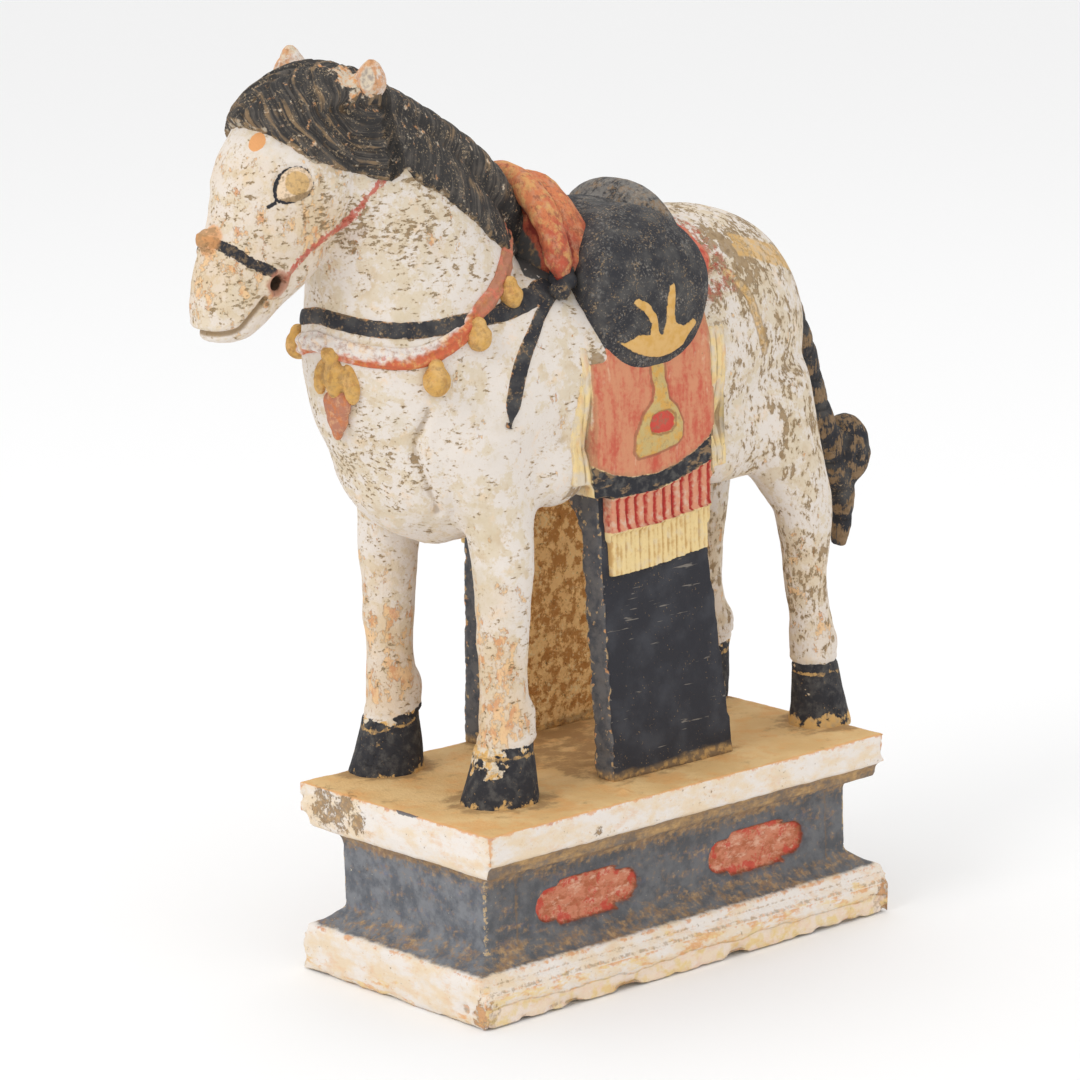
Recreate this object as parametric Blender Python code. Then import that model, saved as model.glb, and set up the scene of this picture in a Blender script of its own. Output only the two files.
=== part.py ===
"""Painted earthenware tomb horse, saddled, on its stepped plinth. Metres, +Z up; the horse faces -Y.

Lengths below are millimetres in the horse's own frame: x across from its middle plane (its left is +x),
y along it (forward is -y) and z above the plinth's top. MM turns them into metres.
"""

import math

import bmesh
import bpy
from mathutils import Matrix, Vector
from mathutils.bvhtree import BVHTree

MM = 0.001

# Plinth, from the floor up
PLINTH_HEIGHT = 78.4
FOOT_SIZE = (118.0, 223.0)  # across, along
FOOT_HEIGHT = 13.4
DADO_SIZE = (90.0, 198.0)
DADO_BOTTOM = 24.0
DADO_TOP = 55.5
SLAB_SIZE = (120.0, 216.0)
SLAB_THICKNESS = 12.7
SLAB_STEP = 3.0  # how far the band under the top slab stands back
SLAB_BAND = 6.0  # height of that band
CORNER_RADIUS = 1.6
SLAB_LOW = PLINTH_HEIGHT - SLAB_THICKNESS
BAND_LOW = SLAB_LOW - SLAB_BAND
PLINTH_PROFILE = (
    # height, size, how far each side stands out from that size
    (0.0, FOOT_SIZE, -1.0), (1.2, FOOT_SIZE, 0.0), (FOOT_HEIGHT - 2.0, FOOT_SIZE, 0.0),
    (FOOT_HEIGHT, FOOT_SIZE, -1.2), (FOOT_HEIGHT + 0.6, FOOT_SIZE, -3.2), (FOOT_HEIGHT + 3.4, FOOT_SIZE, -4.2),
    (FOOT_HEIGHT + 5.0, DADO_SIZE, 6.0), (DADO_BOTTOM - 2.5, DADO_SIZE, 2.0), (DADO_BOTTOM, DADO_SIZE, 0.0),
    (DADO_TOP, DADO_SIZE, 0.0), (DADO_TOP + 2.0, DADO_SIZE, 3.0), (BAND_LOW, SLAB_SIZE, -SLAB_STEP - 1.5),
    (BAND_LOW + 1.0, SLAB_SIZE, -SLAB_STEP), (SLAB_LOW, SLAB_SIZE, -SLAB_STEP),
    (SLAB_LOW + 0.3, SLAB_SIZE, -0.4), (SLAB_LOW + 1.2, SLAB_SIZE, 0.0),
    (PLINTH_HEIGHT - 1.0, SLAB_SIZE, 0.0), (PLINTH_HEIGHT, SLAB_SIZE, -0.9),
)
PLINTH_WALL = 11.0
PANEL_DEPTH = 2.4
PANEL_LENGTH = 55.0
PANEL_HEIGHT = 18.5
PANEL_SPACING = 93.0  # between the middles of the two sunk panels of a long side
PANEL_DROP = 1.8  # their middles below the dado's middle
LOBE_SHARE = 0.42  # radius of a panel's end lobe, against its height
LOBE_NICK = 2.2  # length of the step beside a lobe
LOBE_NECK = 0.4  # how far the lobe's root stands in from that step
HOLLOW_TAPER = (3.0, 6.0)  # how much narrower the hollow is at the dado's top, and at its own top

# The horse stands nearer the far edge of the plinth, and rests on it across the gap that the meshes need
HORSE_OFFSET = (-14.0, 0.0)
REST_GAP = 0.3

# Tubes: (x, y, z, half width across, half depth in the plane of the bend)
TORSO = (
    (0, -124, 179, 7, 11), (0, -120, 177, 15, 26), (0, -109, 172, 25.5, 38), (0, -90, 166, 36, 50),
    (0, -67, 160, 45, 60), (0, -42, 163, 48, 53), (0, -15, 163, 49.5, 50), (0, 20, 163.5, 49.5, 50.5),
    (0, 55, 166, 48.5, 52.5), (0, 80, 165, 44, 51), (0, 98, 161.5, 38, 46), (0, 112, 158.5, 29, 37),
    (0, 120, 156.5, 19, 26), (0, 124, 155, 8, 12),
)
NECK = (
    (0, -72, 165, 42, 54), (0, -76, 190, 38, 51), (0, -80, 210, 34, 46.5), (0, -88, 230, 30, 40),
    (0, -99, 248, 27, 33), (0, -110, 264, 24.5, 27), (0, -120, 278, 20, 17), (0, -126, 285, 12, 9),
)
HEAD = (
    (0, -120, 285, 8, 8), (0, -123, 280, 17, 17), (0, -128, 272, 22, 24), (0, -135, 259, 24, 28),
    (0, -142, 246, 23.5, 28), (0, -149.5, 232.5, 20, 25.5), (0, -159.5, 220.5, 17, 20.5),
    (0, -165, 212.5, 16, 17.5), (0, -169, 205.5, 14.5, 14.5), (0, -171.5, 199.5, 11.5, 10.5),
    (0, -172.5, 195.5, 6, 5),
)
MANE = (
    (0, -156, 272, 10, 4), (0, -150, 279.5, 15, 8), (0, -141, 284.5, 19, 9.5), (0, -128, 287, 22, 9.5),
    (0, -111, 285.5, 22, 9.5), (0, -90, 276, 19, 9), (0, -69, 263, 17, 10), (0, -50, 247, 16, 12),
    (0, -35, 231, 15, 10), (0, -27, 216, 11, 7),
)
FRONT_LEG = (
    (30, -68, 150, 17, 27), (32, -65, 125, 14.5, 19), (34.5, -64.5, 108, 12.6, 14.5), (36, -65, 95, 12.3, 13),
    (36, -65.5, 82, 11.3, 11.7), (36, -66, 65, 10.2, 10.5), (36, -66.5, 47, 9.6, 9.8),
    (36, -66, 34, 10.7, 11.2), (36, -65.5, 28, 11.2, 12), (36, -67, 22, 10.6, 11.2),
)
FRONT_HOOF = ((36, -67.5, 24, 11.3, 11.6), (36, -68.5, 12, 13.2, 13.8), (36, -70.5, 0, 15.4, 16.4))
REAR_LEG = (
    (27, 82, 150, 20, 30), (33, 85, 126, 17, 23), (37, 90, 108, 14, 16.5), (39, 94, 97, 12.4, 13.4),
    (40, 96, 88, 11.2, 11.8), (40, 97, 77, 10, 10.3), (40, 97, 64, 8.8, 9.1), (40, 99, 53, 8.6, 8.9),
    (40, 101, 42, 9.3, 9.9), (40, 101.5, 33, 9.5, 10.2), (40, 101, 26, 8.8, 9.2),
)
REAR_HOOF = ((40, 101, 28, 9.2, 9.6), (40, 103, 10, 11.2, 11.8), (40, 104, 0, 13, 14.2))
TAIL = (
    (0, 112, 193, 7, 8), (0, 121, 181, 9, 8.5), (0, 128, 166, 9, 8), (0, 133.5, 148, 8.6, 8),
    (0, 138, 130, 8.4, 8), (0, 145, 112, 8.6, 8.4), (0, 153, 96, 8, 8), (0, 157, 82, 5.8, 6),
    (0, 157, 70, 4.2, 4.4), (0, 155, 62, 2.8, 3),
)
TAIL_KNOT = ((0, 160, 103), (10, 11, 16))
EAR = (
    (20, -118, 283, 8, 7.5), (22, -117, 290, 7.2, 6.5), (24, -115, 296.5, 4.8, 4), (24.5, -114, 299.5, 2, 1.8),
)
FLANK = ((33, 58, 132), (13, 34, 23))

# The right hind leg stands a little nearer the middle, and a little forward
RIGHT_HIND_SHIFT = (8.0, -1.5)

# Saddle: a padded seat with a round flap on each side, over a cloth that shows before and behind it
SEAT = ((0, 20, 205), (36, 34, 29))
CANTLE = ((0, 37, 214), (33, 18, 22))
FLAP = ((38, -2, 204), (14.5, 35, 36))
FRONT_CLOTH = ((0, -19, 199), (45, 20, 48))
FRONT_CLOTH_FLOOR = 199.0
REAR_CLOTH = ((0, 42, 180), (47.5, 24, 40))
REAR_CLOTH_FLOOR = 188.0

# The hanging of each flank: (front y, rear y, low z at the front, low z at the rear, top z, outer x)
HANGINGS = (
    (-40, 42, 118, 128, 190, 49.0),  # ochre borders
    (-27, 37, 116, 126, 190, 50.5),  # red panel and its black hem
    (-20.5, 34.5, 84, 89, 124, 47.8),  # the two rows of fringe
)
SUPPORT_MIDDLE = 1.5
SUPPORT_FRONT = -21.0
SUPPORT_REAR = (45.5, 33.5)  # at the foot, and under the flank
SUPPORT_HALF = (46.5, 42.0)
SUPPORT_TOP = 124.0
TUNNEL_HALF = (35.5, 29.5)
TUNNEL_SPRING = 84.0  # height where its sides turn into the arch
TUNNEL_TOP = 111.0

# Harness: (degrees round the neck from straight ahead, height) of the middle of each strap
STRAP_AXIS = -74.0  # y of the upright line that the angles turn about
BREAST_STRAP = ((0, 203), (12, 200), (40, 194.5), (70, 195), (95, 199), (118, 205))
BREAST_STRAP_HALF = (3.8, 1.3)
COLLAR = ((0, 192), (25, 184), (45, 182.5), (65, 187), (88, 201), (115, 218), (148, 229), (180, 232))
COLLAR_HALF = (4.2, 1.8)
BELLS = ((58, 174, 7.5), (83, 188, 6.8), (104, 206, 6.4))  # angle, height, radius
PENDANT = (8, (173, 157), (8.5, 6.5))  # its angle, then heights and half widths of the flower and its tassel
PENDANT_FORM = (0.6, 1.5)  # thickness and length of both, against their half width
STRAP_REACH = 90.0  # farther out than any part of the trunk that a strap crosses

VOXEL = 1.6
SMOOTH_ROUNDS = 6
HORSE_TRIANGLES = 7600
STRAP_STEP = 6  # degrees


def clear_scene():
    for found in list(bpy.data.objects):
        bpy.data.objects.remove(found)


def material(name, colour, roughness):
    made = bpy.data.materials.new(name)
    made.use_nodes = True
    shader = made.node_tree.nodes["Principled BSDF"]
    shader.inputs["Base Color"].default_value = (*colour, 1)
    shader.inputs["Roughness"].default_value = roughness
    shader.inputs["Metallic"].default_value = 0.0
    return made


def new_object(name, mesh_maker):
    """An object whose mesh is filled by mesh_maker(bmesh), with its faces pointing out."""
    mesh = bpy.data.meshes.new(name)
    shape = bmesh.new()
    mesh_maker(shape)
    bmesh.ops.recalc_face_normals(shape, faces=shape.faces)
    shape.to_mesh(mesh)
    shape.free()
    made = bpy.data.objects.new(name, mesh)
    bpy.context.scene.collection.objects.link(made)
    return made


# Closed forms, added to a bmesh in millimetres


def between(before, start, end, after, share):
    """The Catmull-Rom curve through start and end."""
    found = []
    for a, b, c, d in zip(before, start, end, after):
        slope = (c - a) * share
        bend = (2 * a - 5 * b + 4 * c - d) * share**2
        twist = (3 * b - a - 3 * c + d) * share**3
        found.append(0.5 * (2 * b + slope + bend + twist))
    return tuple(found)


def finer(stations, steps=4):
    padded = (stations[0], *stations, stations[-1])
    made = [
        between(*padded[i : i + 4], step / steps)
        for i in range(len(stations) - 1)
        for step in range(steps)
    ]
    return [*made, tuple(map(float, stations[-1]))]


def skin(shape, rings):
    """Closes a row of equal rings of vertices into one body."""
    for ring, other in zip(rings, rings[1:]):
        for i, vertex in enumerate(ring):
            after = (i + 1) % len(ring)
            shape.faces.new((vertex, ring[after], other[after], other[i]))
    shape.faces.new(rings[0])
    shape.faces.new(rings[-1])


def add_tube(shape, stations, side=1, level=False, segments=28):
    """A limb: elliptical rings square to the line through the stations, or level as a hoof's are."""
    rows = finer(stations)
    rings = []
    for i, (x, y, z, half_width, half_depth) in enumerate(rows):
        before, after = rows[max(i - 1, 0)], rows[min(i + 1, len(rows) - 1)]
        along = Vector((0, after[1] - before[1], after[2] - before[2])).normalized()
        if level:
            along = Vector((0, 0, -1))
        depth = along.cross(Vector((1, 0, 0)))
        ring = []
        for step in range(segments):
            angle = math.tau * step / segments
            point = Vector((side * x, y, z)) + depth * half_depth * math.sin(angle)
            point.x += half_width * math.cos(angle)
            ring.append(shape.verts.new(point))
        rings.append(ring)
    skin(shape, rings)


def add_lump(shape, middle, radii, side=1, floor=None):
    """An ellipsoid, cut flat below floor."""
    place = Matrix.Translation((side * middle[0], middle[1], middle[2])) @ Matrix.Diagonal((*radii, 1))
    made = bmesh.ops.create_uvsphere(shape, u_segments=32, v_segments=20, radius=1, matrix=place)
    if floor is not None:
        body = list({part for vert in made["verts"] for part in (*vert.link_faces, *vert.link_edges)})
        cut = bmesh.ops.bisect_plane(
            shape, geom=[*made["verts"], *body], plane_co=(0, 0, floor), plane_no=(0, 0, -1), clear_outer=True
        )
        edges = [part for part in cut["geom_cut"] if isinstance(part, bmesh.types.BMEdge)]
        bmesh.ops.holes_fill(shape, edges=edges)


def add_prism(shape, outline, low, high, place):
    """An outline pulled from low to high; place(a, b, c) puts outline point (a, b) at distance c."""
    skin(shape, [[shape.verts.new(place(a, b, c)) for a, b in outline] for c in (low, high)])


def add_hanging(shape, side, front, rear, low_front, low_rear, top, outer):
    outline = ((front, low_front), (rear, low_rear), (rear, top), (front, top))
    add_prism(shape, outline, outer - 12, outer, lambda y, z, x: (side * x, y, z))


def tunnel_outline(steps=12):
    """The line of the tunnel's wall from one foot over the arch to the other."""
    half_foot, half_spring = TUNNEL_HALF
    rise = TUNNEL_TOP - TUNNEL_SPRING
    angles = [math.pi * i / steps for i in range(steps + 1)]
    arch = [(half_spring * math.cos(a), TUNNEL_SPRING + rise * math.sin(a)) for a in angles]
    return [(half_foot, 0), *arch, (-half_foot, 0)]


def add_support(shape):
    """The two slabs under the belly and the arch that joins them."""
    half_foot, half_top = SUPPORT_HALF
    outline = [
        (-half_foot, 0), (-half_top, SUPPORT_TOP), (half_top, SUPPORT_TOP), (half_foot, 0),
        *tunnel_outline(),
    ]

    def place(x, z, end):
        lean = (SUPPORT_REAR[1] - SUPPORT_REAR[0]) * z / SUPPORT_TOP
        return (x + SUPPORT_MIDDLE, SUPPORT_REAR[0] + lean if end else SUPPORT_FRONT, z)

    add_prism(shape, outline, 0, 1, place)


def add_trunk(shape):
    for stations in (TORSO, NECK):
        add_tube(shape, stations)


def add_horse(shape):
    add_trunk(shape)
    for stations in (HEAD, MANE, TAIL):
        add_tube(shape, stations)
    add_lump(shape, *TAIL_KNOT)
    for side in (1, -1):
        for stations in (FRONT_LEG, EAR):
            add_tube(shape, stations, side)
        add_tube(shape, FRONT_HOOF, side, level=True)
        add_lump(shape, *FLANK, side)
    for side, (inward, back) in ((1, (0, 0)), (-1, RIGHT_HIND_SHIFT)):
        for stations, level in ((REAR_LEG, False), (REAR_HOOF, True)):
            moved = [(x - inward, y + back, z, *size) for x, y, z, *size in stations]
            add_tube(shape, moved, side, level)


def add_saddle(shape):
    add_lump(shape, *SEAT)
    add_lump(shape, *CANTLE)
    add_lump(shape, *FRONT_CLOTH, floor=FRONT_CLOTH_FLOOR)
    add_lump(shape, *REAR_CLOTH, floor=REAR_CLOTH_FLOOR)
    for side in (1, -1):
        add_lump(shape, *FLAP, side)
        for hanging in HANGINGS:
            add_hanging(shape, side, *hanging)


def on_trunk(trunk, angle, height):
    """The point of the trunk at an angle round the neck and a height, and the level way out of it there."""
    turn = math.radians(angle)
    out = Vector((math.sin(turn), -math.cos(turn), 0))
    start = Vector((0, STRAP_AXIS, height)) + out * STRAP_REACH
    return trunk.ray_cast(start, -out)[0], out


def strap_height(route, angle):
    """The height of a strap at an angle, on a smooth curve through the points of its route."""
    padded = (route[0], *route, route[-1])
    for i in range(len(route) - 1):
        start, end = route[i][0], route[i + 1][0]
        if angle <= end:
            return between(*padded[i : i + 4], (angle - start) / (end - start))[1]
    return route[-1][1]


def add_strap(shape, trunk, route, half_size):
    """A flat band, half sunk in the trunk, round the neck and shoulders."""
    half_width, half_depth = half_size
    last = route[-1][0]
    rings = []
    for angle in range(-last, last + 1, STRAP_STEP):
        point, out = on_trunk(trunk, angle, strap_height(route, abs(angle)))
        rings.append(
            [
                shape.verts.new(point + Vector((0, 0, a * half_width)) + out * b * half_depth)
                for a, b in ((-1, -1), (1, -1), (1, 0.4), (0.6, 1), (-0.6, 1), (-1, 0.4))
            ]
        )
    skin(shape, rings)


def add_harness(shape, trunk):
    add_strap(shape, trunk, BREAST_STRAP, BREAST_STRAP_HALF)
    add_strap(shape, trunk, COLLAR, COLLAR_HALF)
    for side in (1, -1):
        for angle, height, radius in BELLS:
            add_lump(shape, on_trunk(trunk, side * angle, height)[0], (radius,) * 3)
    angle, heights, radii = PENDANT
    thickness, length = PENDANT_FORM
    for height, radius in zip(heights, radii):
        add_lump(shape, on_trunk(trunk, angle, height)[0], (radius, radius * thickness, radius * length))


def make_horse(paint):
    bare = new_object("bare_trunk", add_trunk)
    trunk = BVHTree.FromObject(bare, bpy.context.evaluated_depsgraph_get())
    bpy.data.objects.remove(bare)

    def whole(shape):
        add_horse(shape)
        add_saddle(shape)
        add_support(shape)
        add_harness(shape, trunk)

    horse = new_object("horse", whole)
    to_plinth = Matrix.Translation((*HORSE_OFFSET, PLINTH_HEIGHT + REST_GAP))
    horse.data.transform(Matrix.Scale(MM, 4) @ to_plinth)
    horse.data.materials.append(paint)
    fuse(horse)
    return horse


def fuse(horse):
    """Melts the overlapping forms into one clay body, and keeps the faces that its shape needs."""
    remesh = horse.modifiers.new("one_body", "REMESH")
    remesh.mode = "VOXEL"
    remesh.voxel_size = VOXEL * MM
    remesh.use_smooth_shade = True
    soften = horse.modifiers.new("soft_joins", "SMOOTH")
    soften.factor = 0.5
    soften.iterations = SMOOTH_ROUNDS
    thin = horse.modifiers.new("fewer_faces", "DECIMATE")
    graph = bpy.context.evaluated_depsgraph_get()
    dense = horse.evaluated_get(graph).to_mesh()
    dense.calc_loop_triangles()
    thin.ratio = HORSE_TRIANGLES / len(dense.loop_triangles)
    horse.evaluated_get(graph).to_mesh_clear()


def rounded_rectangle(width, length, radius, steps=2):
    points = []
    for sign_x, sign_y, start in ((1, 1, 0), (-1, 1, 90), (-1, -1, 180), (1, -1, 270)):
        for step in range(steps + 1):
            angle = math.radians(start + 90 * step / steps)
            points.append(
                (
                    sign_x * (width / 2 - radius) + radius * math.cos(angle),
                    sign_y * (length / 2 - radius) + radius * math.sin(angle),
                )
            )
    return points


def add_plinth(shape):
    """Rounded rectangles from the floor to the top, skinned."""
    rings = []
    for height, size, more in PLINTH_PROFILE:
        outline = rounded_rectangle(size[0] + 2 * more, size[1] + 2 * more, CORNER_RADIUS)
        rings.append([shape.verts.new((x, y, height)) for x, y in outline])
    skin(shape, rings)


def add_hollow(shape):
    """The space under the plinth, open at the floor and narrower at the top."""
    width, length = (size - 2 * PLINTH_WALL for size in DADO_SIZE)
    rings = []
    levels = zip((-5.0, DADO_TOP, PLINTH_HEIGHT - PLINTH_WALL), (0, *HOLLOW_TAPER))
    for height, inset in levels:
        outline = rounded_rectangle(width - inset, length - inset, 4 * CORNER_RADIUS)
        rings.append([shape.verts.new((x, y, height)) for x, y in outline])
    skin(shape, rings)


def cartouche(steps=5):
    """Outline of a sunk panel: a bar with a smaller round lobe at each end."""
    lobe = PANEL_HEIGHT * LOBE_SHARE
    shoulder = PANEL_LENGTH / 2 - lobe
    nick, neck = shoulder - LOBE_NICK, shoulder - LOBE_NECK
    root = lobe + LOBE_NECK
    right = [
        (shoulder + lobe * math.sin(math.pi * i / steps), -lobe * math.cos(math.pi * i / steps))
        for i in range(steps + 1)
    ]
    half = [(nick, -PANEL_HEIGHT / 2), (neck, -root), *right, (neck, root), (nick, PANEL_HEIGHT / 2)]
    return half + [(-a, -b) for a, b in half]


def add_sunk_panels(shape):
    """Cutters for two panels on each long side."""
    middle = (DADO_BOTTOM + DADO_TOP) / 2 - PANEL_DROP
    face = DADO_SIZE[0] / 2
    for side in (1, -1):
        for along in (-PANEL_SPACING / 2, PANEL_SPACING / 2):
            add_prism(
                shape,
                cartouche(),
                face - PANEL_DEPTH,
                face + 6,
                lambda a, b, c, side=side, along=along: (side * c, along + a, middle + b),
            )


def cut(block, cutter):
    cutter.data.transform(Matrix.Scale(MM, 4))
    cutter.hide_render = True
    cutter.display_type = "WIRE"
    made = block.modifiers.new(cutter.name, "BOOLEAN")
    made.operation = "DIFFERENCE"
    made.object = cutter


def make_plinth(paint):
    plinth = new_object("plinth", add_plinth)
    plinth.data.transform(Matrix.Scale(MM, 4))
    plinth.data.materials.append(paint)
    cut(plinth, new_object("hollow_cutter", add_hollow))
    cut(plinth, new_object("panel_cutter", add_sunk_panels))
    return plinth


def stand_on_origin(objects):
    """Moves everything so that the middle of its footprint is the origin."""
    graph = bpy.context.evaluated_depsgraph_get()
    corners = [
        made.matrix_world @ Vector(corner)
        for made in objects
        for corner in made.evaluated_get(graph).bound_box
    ]
    shift = [-(min(c[axis] for c in corners) + max(c[axis] for c in corners)) / 2 for axis in (0, 1)]
    for found in bpy.data.objects:
        found.data.transform(Matrix.Translation((*shift, 0)))


def main():
    clear_scene()
    slip = material("white_slip", (0.80, 0.77, 0.71), 0.85)
    grey = material("grey_blue_paint", (0.17, 0.19, 0.21), 0.85)
    horse = make_horse(slip)
    plinth = make_plinth(grey)
    stand_on_origin([horse, plinth])


main()
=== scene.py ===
import math

import bpy
import numpy as np
from mathutils import Matrix, Vector, noise
from mathutils.bvhtree import BVHTree


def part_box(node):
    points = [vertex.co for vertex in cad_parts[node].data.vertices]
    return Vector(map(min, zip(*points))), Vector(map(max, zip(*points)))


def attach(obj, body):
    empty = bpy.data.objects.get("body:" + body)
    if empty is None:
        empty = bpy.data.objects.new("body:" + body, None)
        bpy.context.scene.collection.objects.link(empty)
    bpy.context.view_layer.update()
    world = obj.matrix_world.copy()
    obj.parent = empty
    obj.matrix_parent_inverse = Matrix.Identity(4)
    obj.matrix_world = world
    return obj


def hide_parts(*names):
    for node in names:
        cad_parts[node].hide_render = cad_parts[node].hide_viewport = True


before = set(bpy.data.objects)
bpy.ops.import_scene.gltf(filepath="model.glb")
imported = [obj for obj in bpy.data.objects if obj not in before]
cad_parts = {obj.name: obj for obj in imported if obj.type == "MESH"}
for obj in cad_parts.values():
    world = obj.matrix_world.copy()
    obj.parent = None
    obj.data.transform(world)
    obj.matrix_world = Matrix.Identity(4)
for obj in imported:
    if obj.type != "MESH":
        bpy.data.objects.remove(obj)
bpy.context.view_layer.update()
scene = bpy.context.scene
mm = 0.001
plinthLow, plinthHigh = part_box("plinth")
plinthMiddle = (plinthLow + plinthHigh) / 2
# the horse is modelled in millimetres about its own zero: its middle plane, on the plinth's top, facing -y
horseZero = Vector((plinthMiddle.x - 14 * mm, plinthMiddle.y, plinthHigh.z))
plinthZero = Vector((plinthMiddle.x, plinthMiddle.y, plinthLow.z))
print("frame loaded")

# tools for the mesh


def nothingSelected():
    if bpy.context.object and bpy.context.object.mode != "OBJECT":
        bpy.ops.object.mode_set(mode="OBJECT")
    bpy.ops.object.select_all(action="DESELECT")


def only(*objects):
    nothingSelected()
    for obj in objects:
        obj.select_set(True)
    bpy.context.view_layer.objects.active = objects[0]


def applyPlace():
    bpy.ops.object.transform_apply(location=True, rotation=True, scale=True)


def facesOut(obj):
    only(obj)
    bpy.ops.object.mode_set(mode="EDIT")
    bpy.ops.mesh.select_all(action="SELECT")
    bpy.ops.mesh.normals_make_consistent(inside=False)
    bpy.ops.object.mode_set(mode="OBJECT")


def between(before, start, end, after, share):
    found = []
    for a, b, c, d in zip(before, start, end, after):
        slope = (c - a) * share
        bend = (2 * a - 5 * b + 4 * c - d) * share**2
        twist = (3 * b - a - 3 * c + d) * share**3
        found.append(0.5 * (2 * b + slope + bend + twist))
    return tuple(found)


def finer(stations, steps=3):
    padded = (stations[0], *stations, stations[-1])
    rows = [between(*padded[i : i + 4], k / steps) for i in range(len(stations) - 1) for k in range(steps)]
    return [*rows, tuple(map(float, stations[-1]))]


# rings (x, y, z, half width, half depth) bridged into a closed limb that bends in its side view
def pullTube(stations, side=1, level=False, grow=0.0, segments=32):
    nothingSelected()
    rows = finer(stations)
    for i, (x, y, z, halfWidth, halfDepth) in enumerate(rows):
        before, after = rows[max(i - 1, 0)], rows[min(i + 1, len(rows) - 1)]
        lean = math.pi if level else math.atan2(before[1] - after[1], after[2] - before[2])
        place = (side * x, y, z)
        wide, deep = halfWidth + grow, halfDepth + grow
        bpy.ops.mesh.primitive_circle_add(
            vertices=segments, radius=deep, location=place, rotation=(lean, 0, 0),
        )
        if i == 0:
            applyPlace()
            bpy.ops.object.mode_set(mode="EDIT")
            bpy.ops.mesh.select_all(action="SELECT")
        bpy.ops.transform.resize(value=(wide / deep, 1, 1), center_override=place)
    bpy.ops.mesh.select_all(action="SELECT")
    bpy.ops.mesh.bridge_edge_loops()
    bpy.ops.mesh.select_all(action="SELECT")
    bpy.ops.mesh.fill_holes(sides=0)
    bpy.ops.mesh.normals_make_consistent(inside=False)
    bpy.ops.object.mode_set(mode="OBJECT")
    return bpy.context.object


def lump(middle, radii, side=1, turn=(0, 0, 0)):
    nothingSelected()
    place = (side * middle[0], middle[1], middle[2])
    turned = tuple(math.radians(a) * (1 if axis == 0 else side) for axis, a in enumerate(turn))
    bpy.ops.mesh.primitive_uv_sphere_add(
        segments=32, ring_count=20, location=place, rotation=turned, scale=radii,
    )
    applyPlace()
    return bpy.context.object


# a block between two corners, its top moved in or along
def block(low, high, topScale=(1, 1), topShift=(0, 0)):
    nothingSelected()
    middle = [(a + b) / 2 for a, b in zip(low, high)]
    size = [b - a for a, b in zip(low, high)]
    bpy.ops.mesh.primitive_cube_add(size=1, location=middle, scale=size)
    applyPlace()
    bpy.ops.object.mode_set(mode="EDIT")
    bpy.ops.mesh.select_all(action="DESELECT")
    bpy.ops.object.mode_set(mode="OBJECT")
    made = bpy.context.object
    for vertex in made.data.vertices:
        vertex.select = vertex.co.z > middle[2]
    bpy.ops.object.mode_set(mode="EDIT")
    bpy.ops.transform.resize(value=(*topScale, 1), center_override=(middle[0], middle[1], high[2]))
    bpy.ops.transform.translate(value=(*topShift, 0))
    bpy.ops.object.mode_set(mode="OBJECT")
    return made


def useModifier(obj, kind, **settings):
    only(obj)
    made = obj.modifiers.new(kind.title(), kind)
    for name, value in settings.items():
        setattr(made, name, value)
    bpy.ops.object.modifier_apply(modifier=made.name)


def cutAway(obj, cutter):
    useModifier(obj, "BOOLEAN", operation="DIFFERENCE", object=cutter)
    bpy.data.objects.remove(cutter)


# overlapping forms melt into one clay body
def fuse(name, parts, voxel, rounds):
    only(*parts)
    bpy.ops.object.join()
    body = bpy.context.object
    body.name = body.data.name = name
    useModifier(body, "REMESH", mode="VOXEL", voxel_size=voxel)
    if rounds:
        useModifier(body, "SMOOTH", factor=0.5, iterations=rounds)
    return body


def pointsOf(obj):
    found = np.empty(len(obj.data.vertices) * 3, np.float32)
    obj.data.vertices.foreach_get("co", found)
    return found.reshape(-1, 3).astype(float)


def normalsOf(obj):
    found = np.empty(len(obj.data.vertices) * 3, np.float32)
    obj.data.vertex_normals.foreach_get("vector", found)
    return found.reshape(-1, 3).astype(float)


def moveTo(obj, points):
    obj.data.vertices.foreach_set("co", points.astype(np.float32).ravel())
    obj.data.update()


def push(obj, amount):
    moveTo(obj, pointsOf(obj) + normalsOf(obj) * amount[:, None])


def ease(t):
    t = np.clip(t, 0, 1)
    return t * t * (3 - 2 * t)


def lengthOf(runs):
    return np.linalg.norm(runs, axis=1)


# 1 along a line and 0 beyond its reach
def nearLine(distance, reach):
    return ease(1 - np.abs(distance) / reach)


def dab(points, middle, radius):
    return ease(1 - lengthOf(points - np.array(middle, float)) / radius)


# distance from each point to a line through the route's points, in two or three dimensions
def toRoute(points, route):
    route = np.array(route, float)
    best = np.full(len(points), 1e9)
    for start, end in zip(route, route[1:]):
        run = end - start
        t = np.clip(((points - start) @ run) / max(run @ run, 1e-9), 0, 1)
        best = np.minimum(best, lengthOf(points - start - t[:, None] * run))
    return best


# signed distance to a closed outline in two dimensions, positive inside
def insideOf(points, outline):
    outline = np.array(outline, float)
    inside = np.zeros(len(points), bool)
    for (a, b), (c, d) in zip(outline, np.roll(outline, -1, axis=0)):
        crosses = (b > points[:, 1]) != (d > points[:, 1])
        at = (c - a) * (points[:, 1] - b) / ((d - b) or 1e-9) + a
        inside ^= crosses & (points[:, 0] < at)
    return np.where(inside, 1, -1) * toRoute(points, [*outline, outline[0]])


def smoothLine(points, steps=6):
    return finer([tuple(p) for p in points], steps)


def unevenness(points, size, octaves=3, seed=0.0):
    shift = Vector((seed, seed * 0.7, -seed))
    return np.array([noise.fractal(Vector(p) / size + shift, 0.9, 2.0, octaves) for p in points])


def edgesOf(obj):
    found = np.empty(len(obj.data.edges) * 2, np.int32)
    obj.data.edges.foreach_get("vertices", found)
    return found.reshape(-1, 2)


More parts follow.
